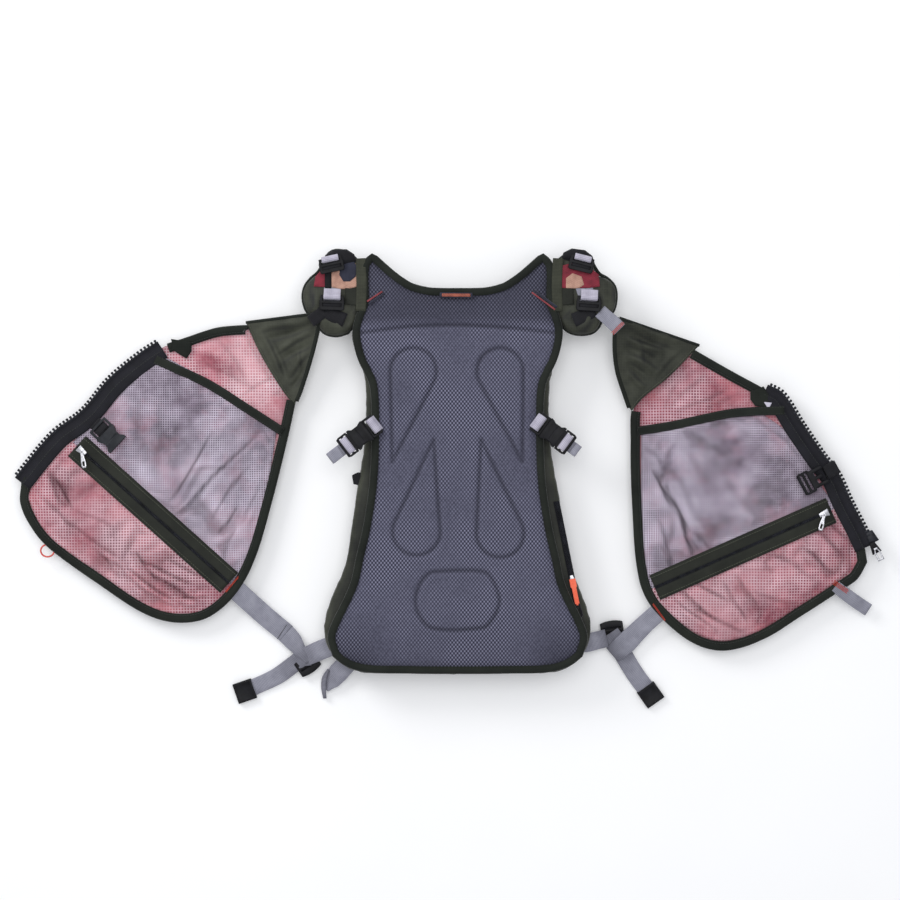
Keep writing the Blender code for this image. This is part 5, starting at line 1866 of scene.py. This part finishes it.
soften(box_model, 0.7, 2)
copied(box_model, "zip_box", TEETH_PLASTIC, "front_right", "black_plastic", (), (506, -66, 19.3), FOOT_TURN)
print("centre zip done")

# %% [markdown]
# ## Tabs, bar-tacks and small ends
# What is left is small: the folded tape ends at the top of the centre zip, the bar-tacks in red
# thread that lock the strap ends, the grey tail at the hem, the cord ring and the shoulder's link.

# %% Tabs and bar-tacks


def bar_tack(name, start, end, z, body, rows, gap=1.5):
    """A dense block of red stitches from start to end."""
    line = np.linspace(start, end, 12)
    places = []
    for k in range(rows):
        places += along_line(grown(line, (k - (rows - 1) / 2) * gap, False), np.asarray(z) * np.ones(12), 2.1,
                             0.7 * (k % 2))
    return piece(name, repeated(name, stitch_model, places), RED_THREAD, body, "orange_trim")


layer("zip_tab_left", [(-350, 176), (-325, 172), (-325, 161), (-331, 152), (-338, 156), (-347, 162)], 20.8,
      2.2, BINDING, "front_left", "binding", 0.8, 2.0)
layer("zip_tab_right", [(358, 112), (374, 118), (382, 104), (377, 93), (364, 94), (358, 102)], 20.8, 2.2,
      BINDING, "front_right", "binding", 0.8, 2.0)
layer("zip_tab_lining_right", [(374, 99), (384, 98), (380, 90)], 21.4, 1.0, PALE_WEBBING, "front_right",
      "webbing", 0.1, 2.0)
bar_tack("edge_tack_left", (-283.5, -133.5), (-267.5, -114.5), 20.9, "front_left", 2, 1.2)
bar_tack("edge_tack_right", (238.5, -147.5), (253.5, -168.0), 20.9, "front_right", 2, 1.2)
bar_tack("link_tack_right", (186.8, 180.6), (200.4, 194.2), 50.6, "front_right", 3)
link = webbing("shoulder_link_web", [(172, 208, 48.6), (181, 200, 48.8), (189, 193, 48.8), (196, 186, 48.4)],
               [17, 17, 18, 18], WEBBING, None, "shoulder_link_right")
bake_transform(link)
link = webbing("shoulder_link_left", [(-160, 210, 47.4), (-168, 203, 46.4), (-178, 196, 42.6)], [15, 15, 15],
               BLACK_WEBBING, None, slot="binding")
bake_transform(link)
webbing("hem_tail_web", [(462, -126, 19.6), (472, -134, 18.6), (486, -144, 14.0), (504, -156, 10.2)],
        [15, 16, 16, 16], WEBBING, "front_right", "hem_tail_right", tones=[0.2, 0.0, 0.1, 0.0])
bar_tack("hem_tack_right", (459, -121), (477, -133), 21.2, "front_right", 4)
ring = [(-502 + 8.5 * math.cos(a), -83 + 7.5 * math.sin(a), 15 + 1.5 * math.cos(a))
        for a in np.arange(24) * math.pi / 12]
swept("cord_ring", ring, round_profile(1.05, 8), RING_CORD, "front_left", "orange_trim", "ring_loop",
      closed=True)
webbing("pack_loop_left", [(-113, 5, 30), (-121, 5, 30.4), (-127.5, 4, 29.6)], [16, 16, 11], BLACK_WEBBING,
        "backpack", slot="binding")
print("trims done")

# %% [markdown]
# ## Clearing the bench
# Each lining, net, outer shell and yoke was cut flat from cloth. The models that were copied along
# the seams and onto the vest are not pieces of it, so they are removed.


# %% Remove the models that were copied
for model in [o for o in bpy.data.objects if o.name.endswith("_model")]:
    bpy.data.objects.remove(model)
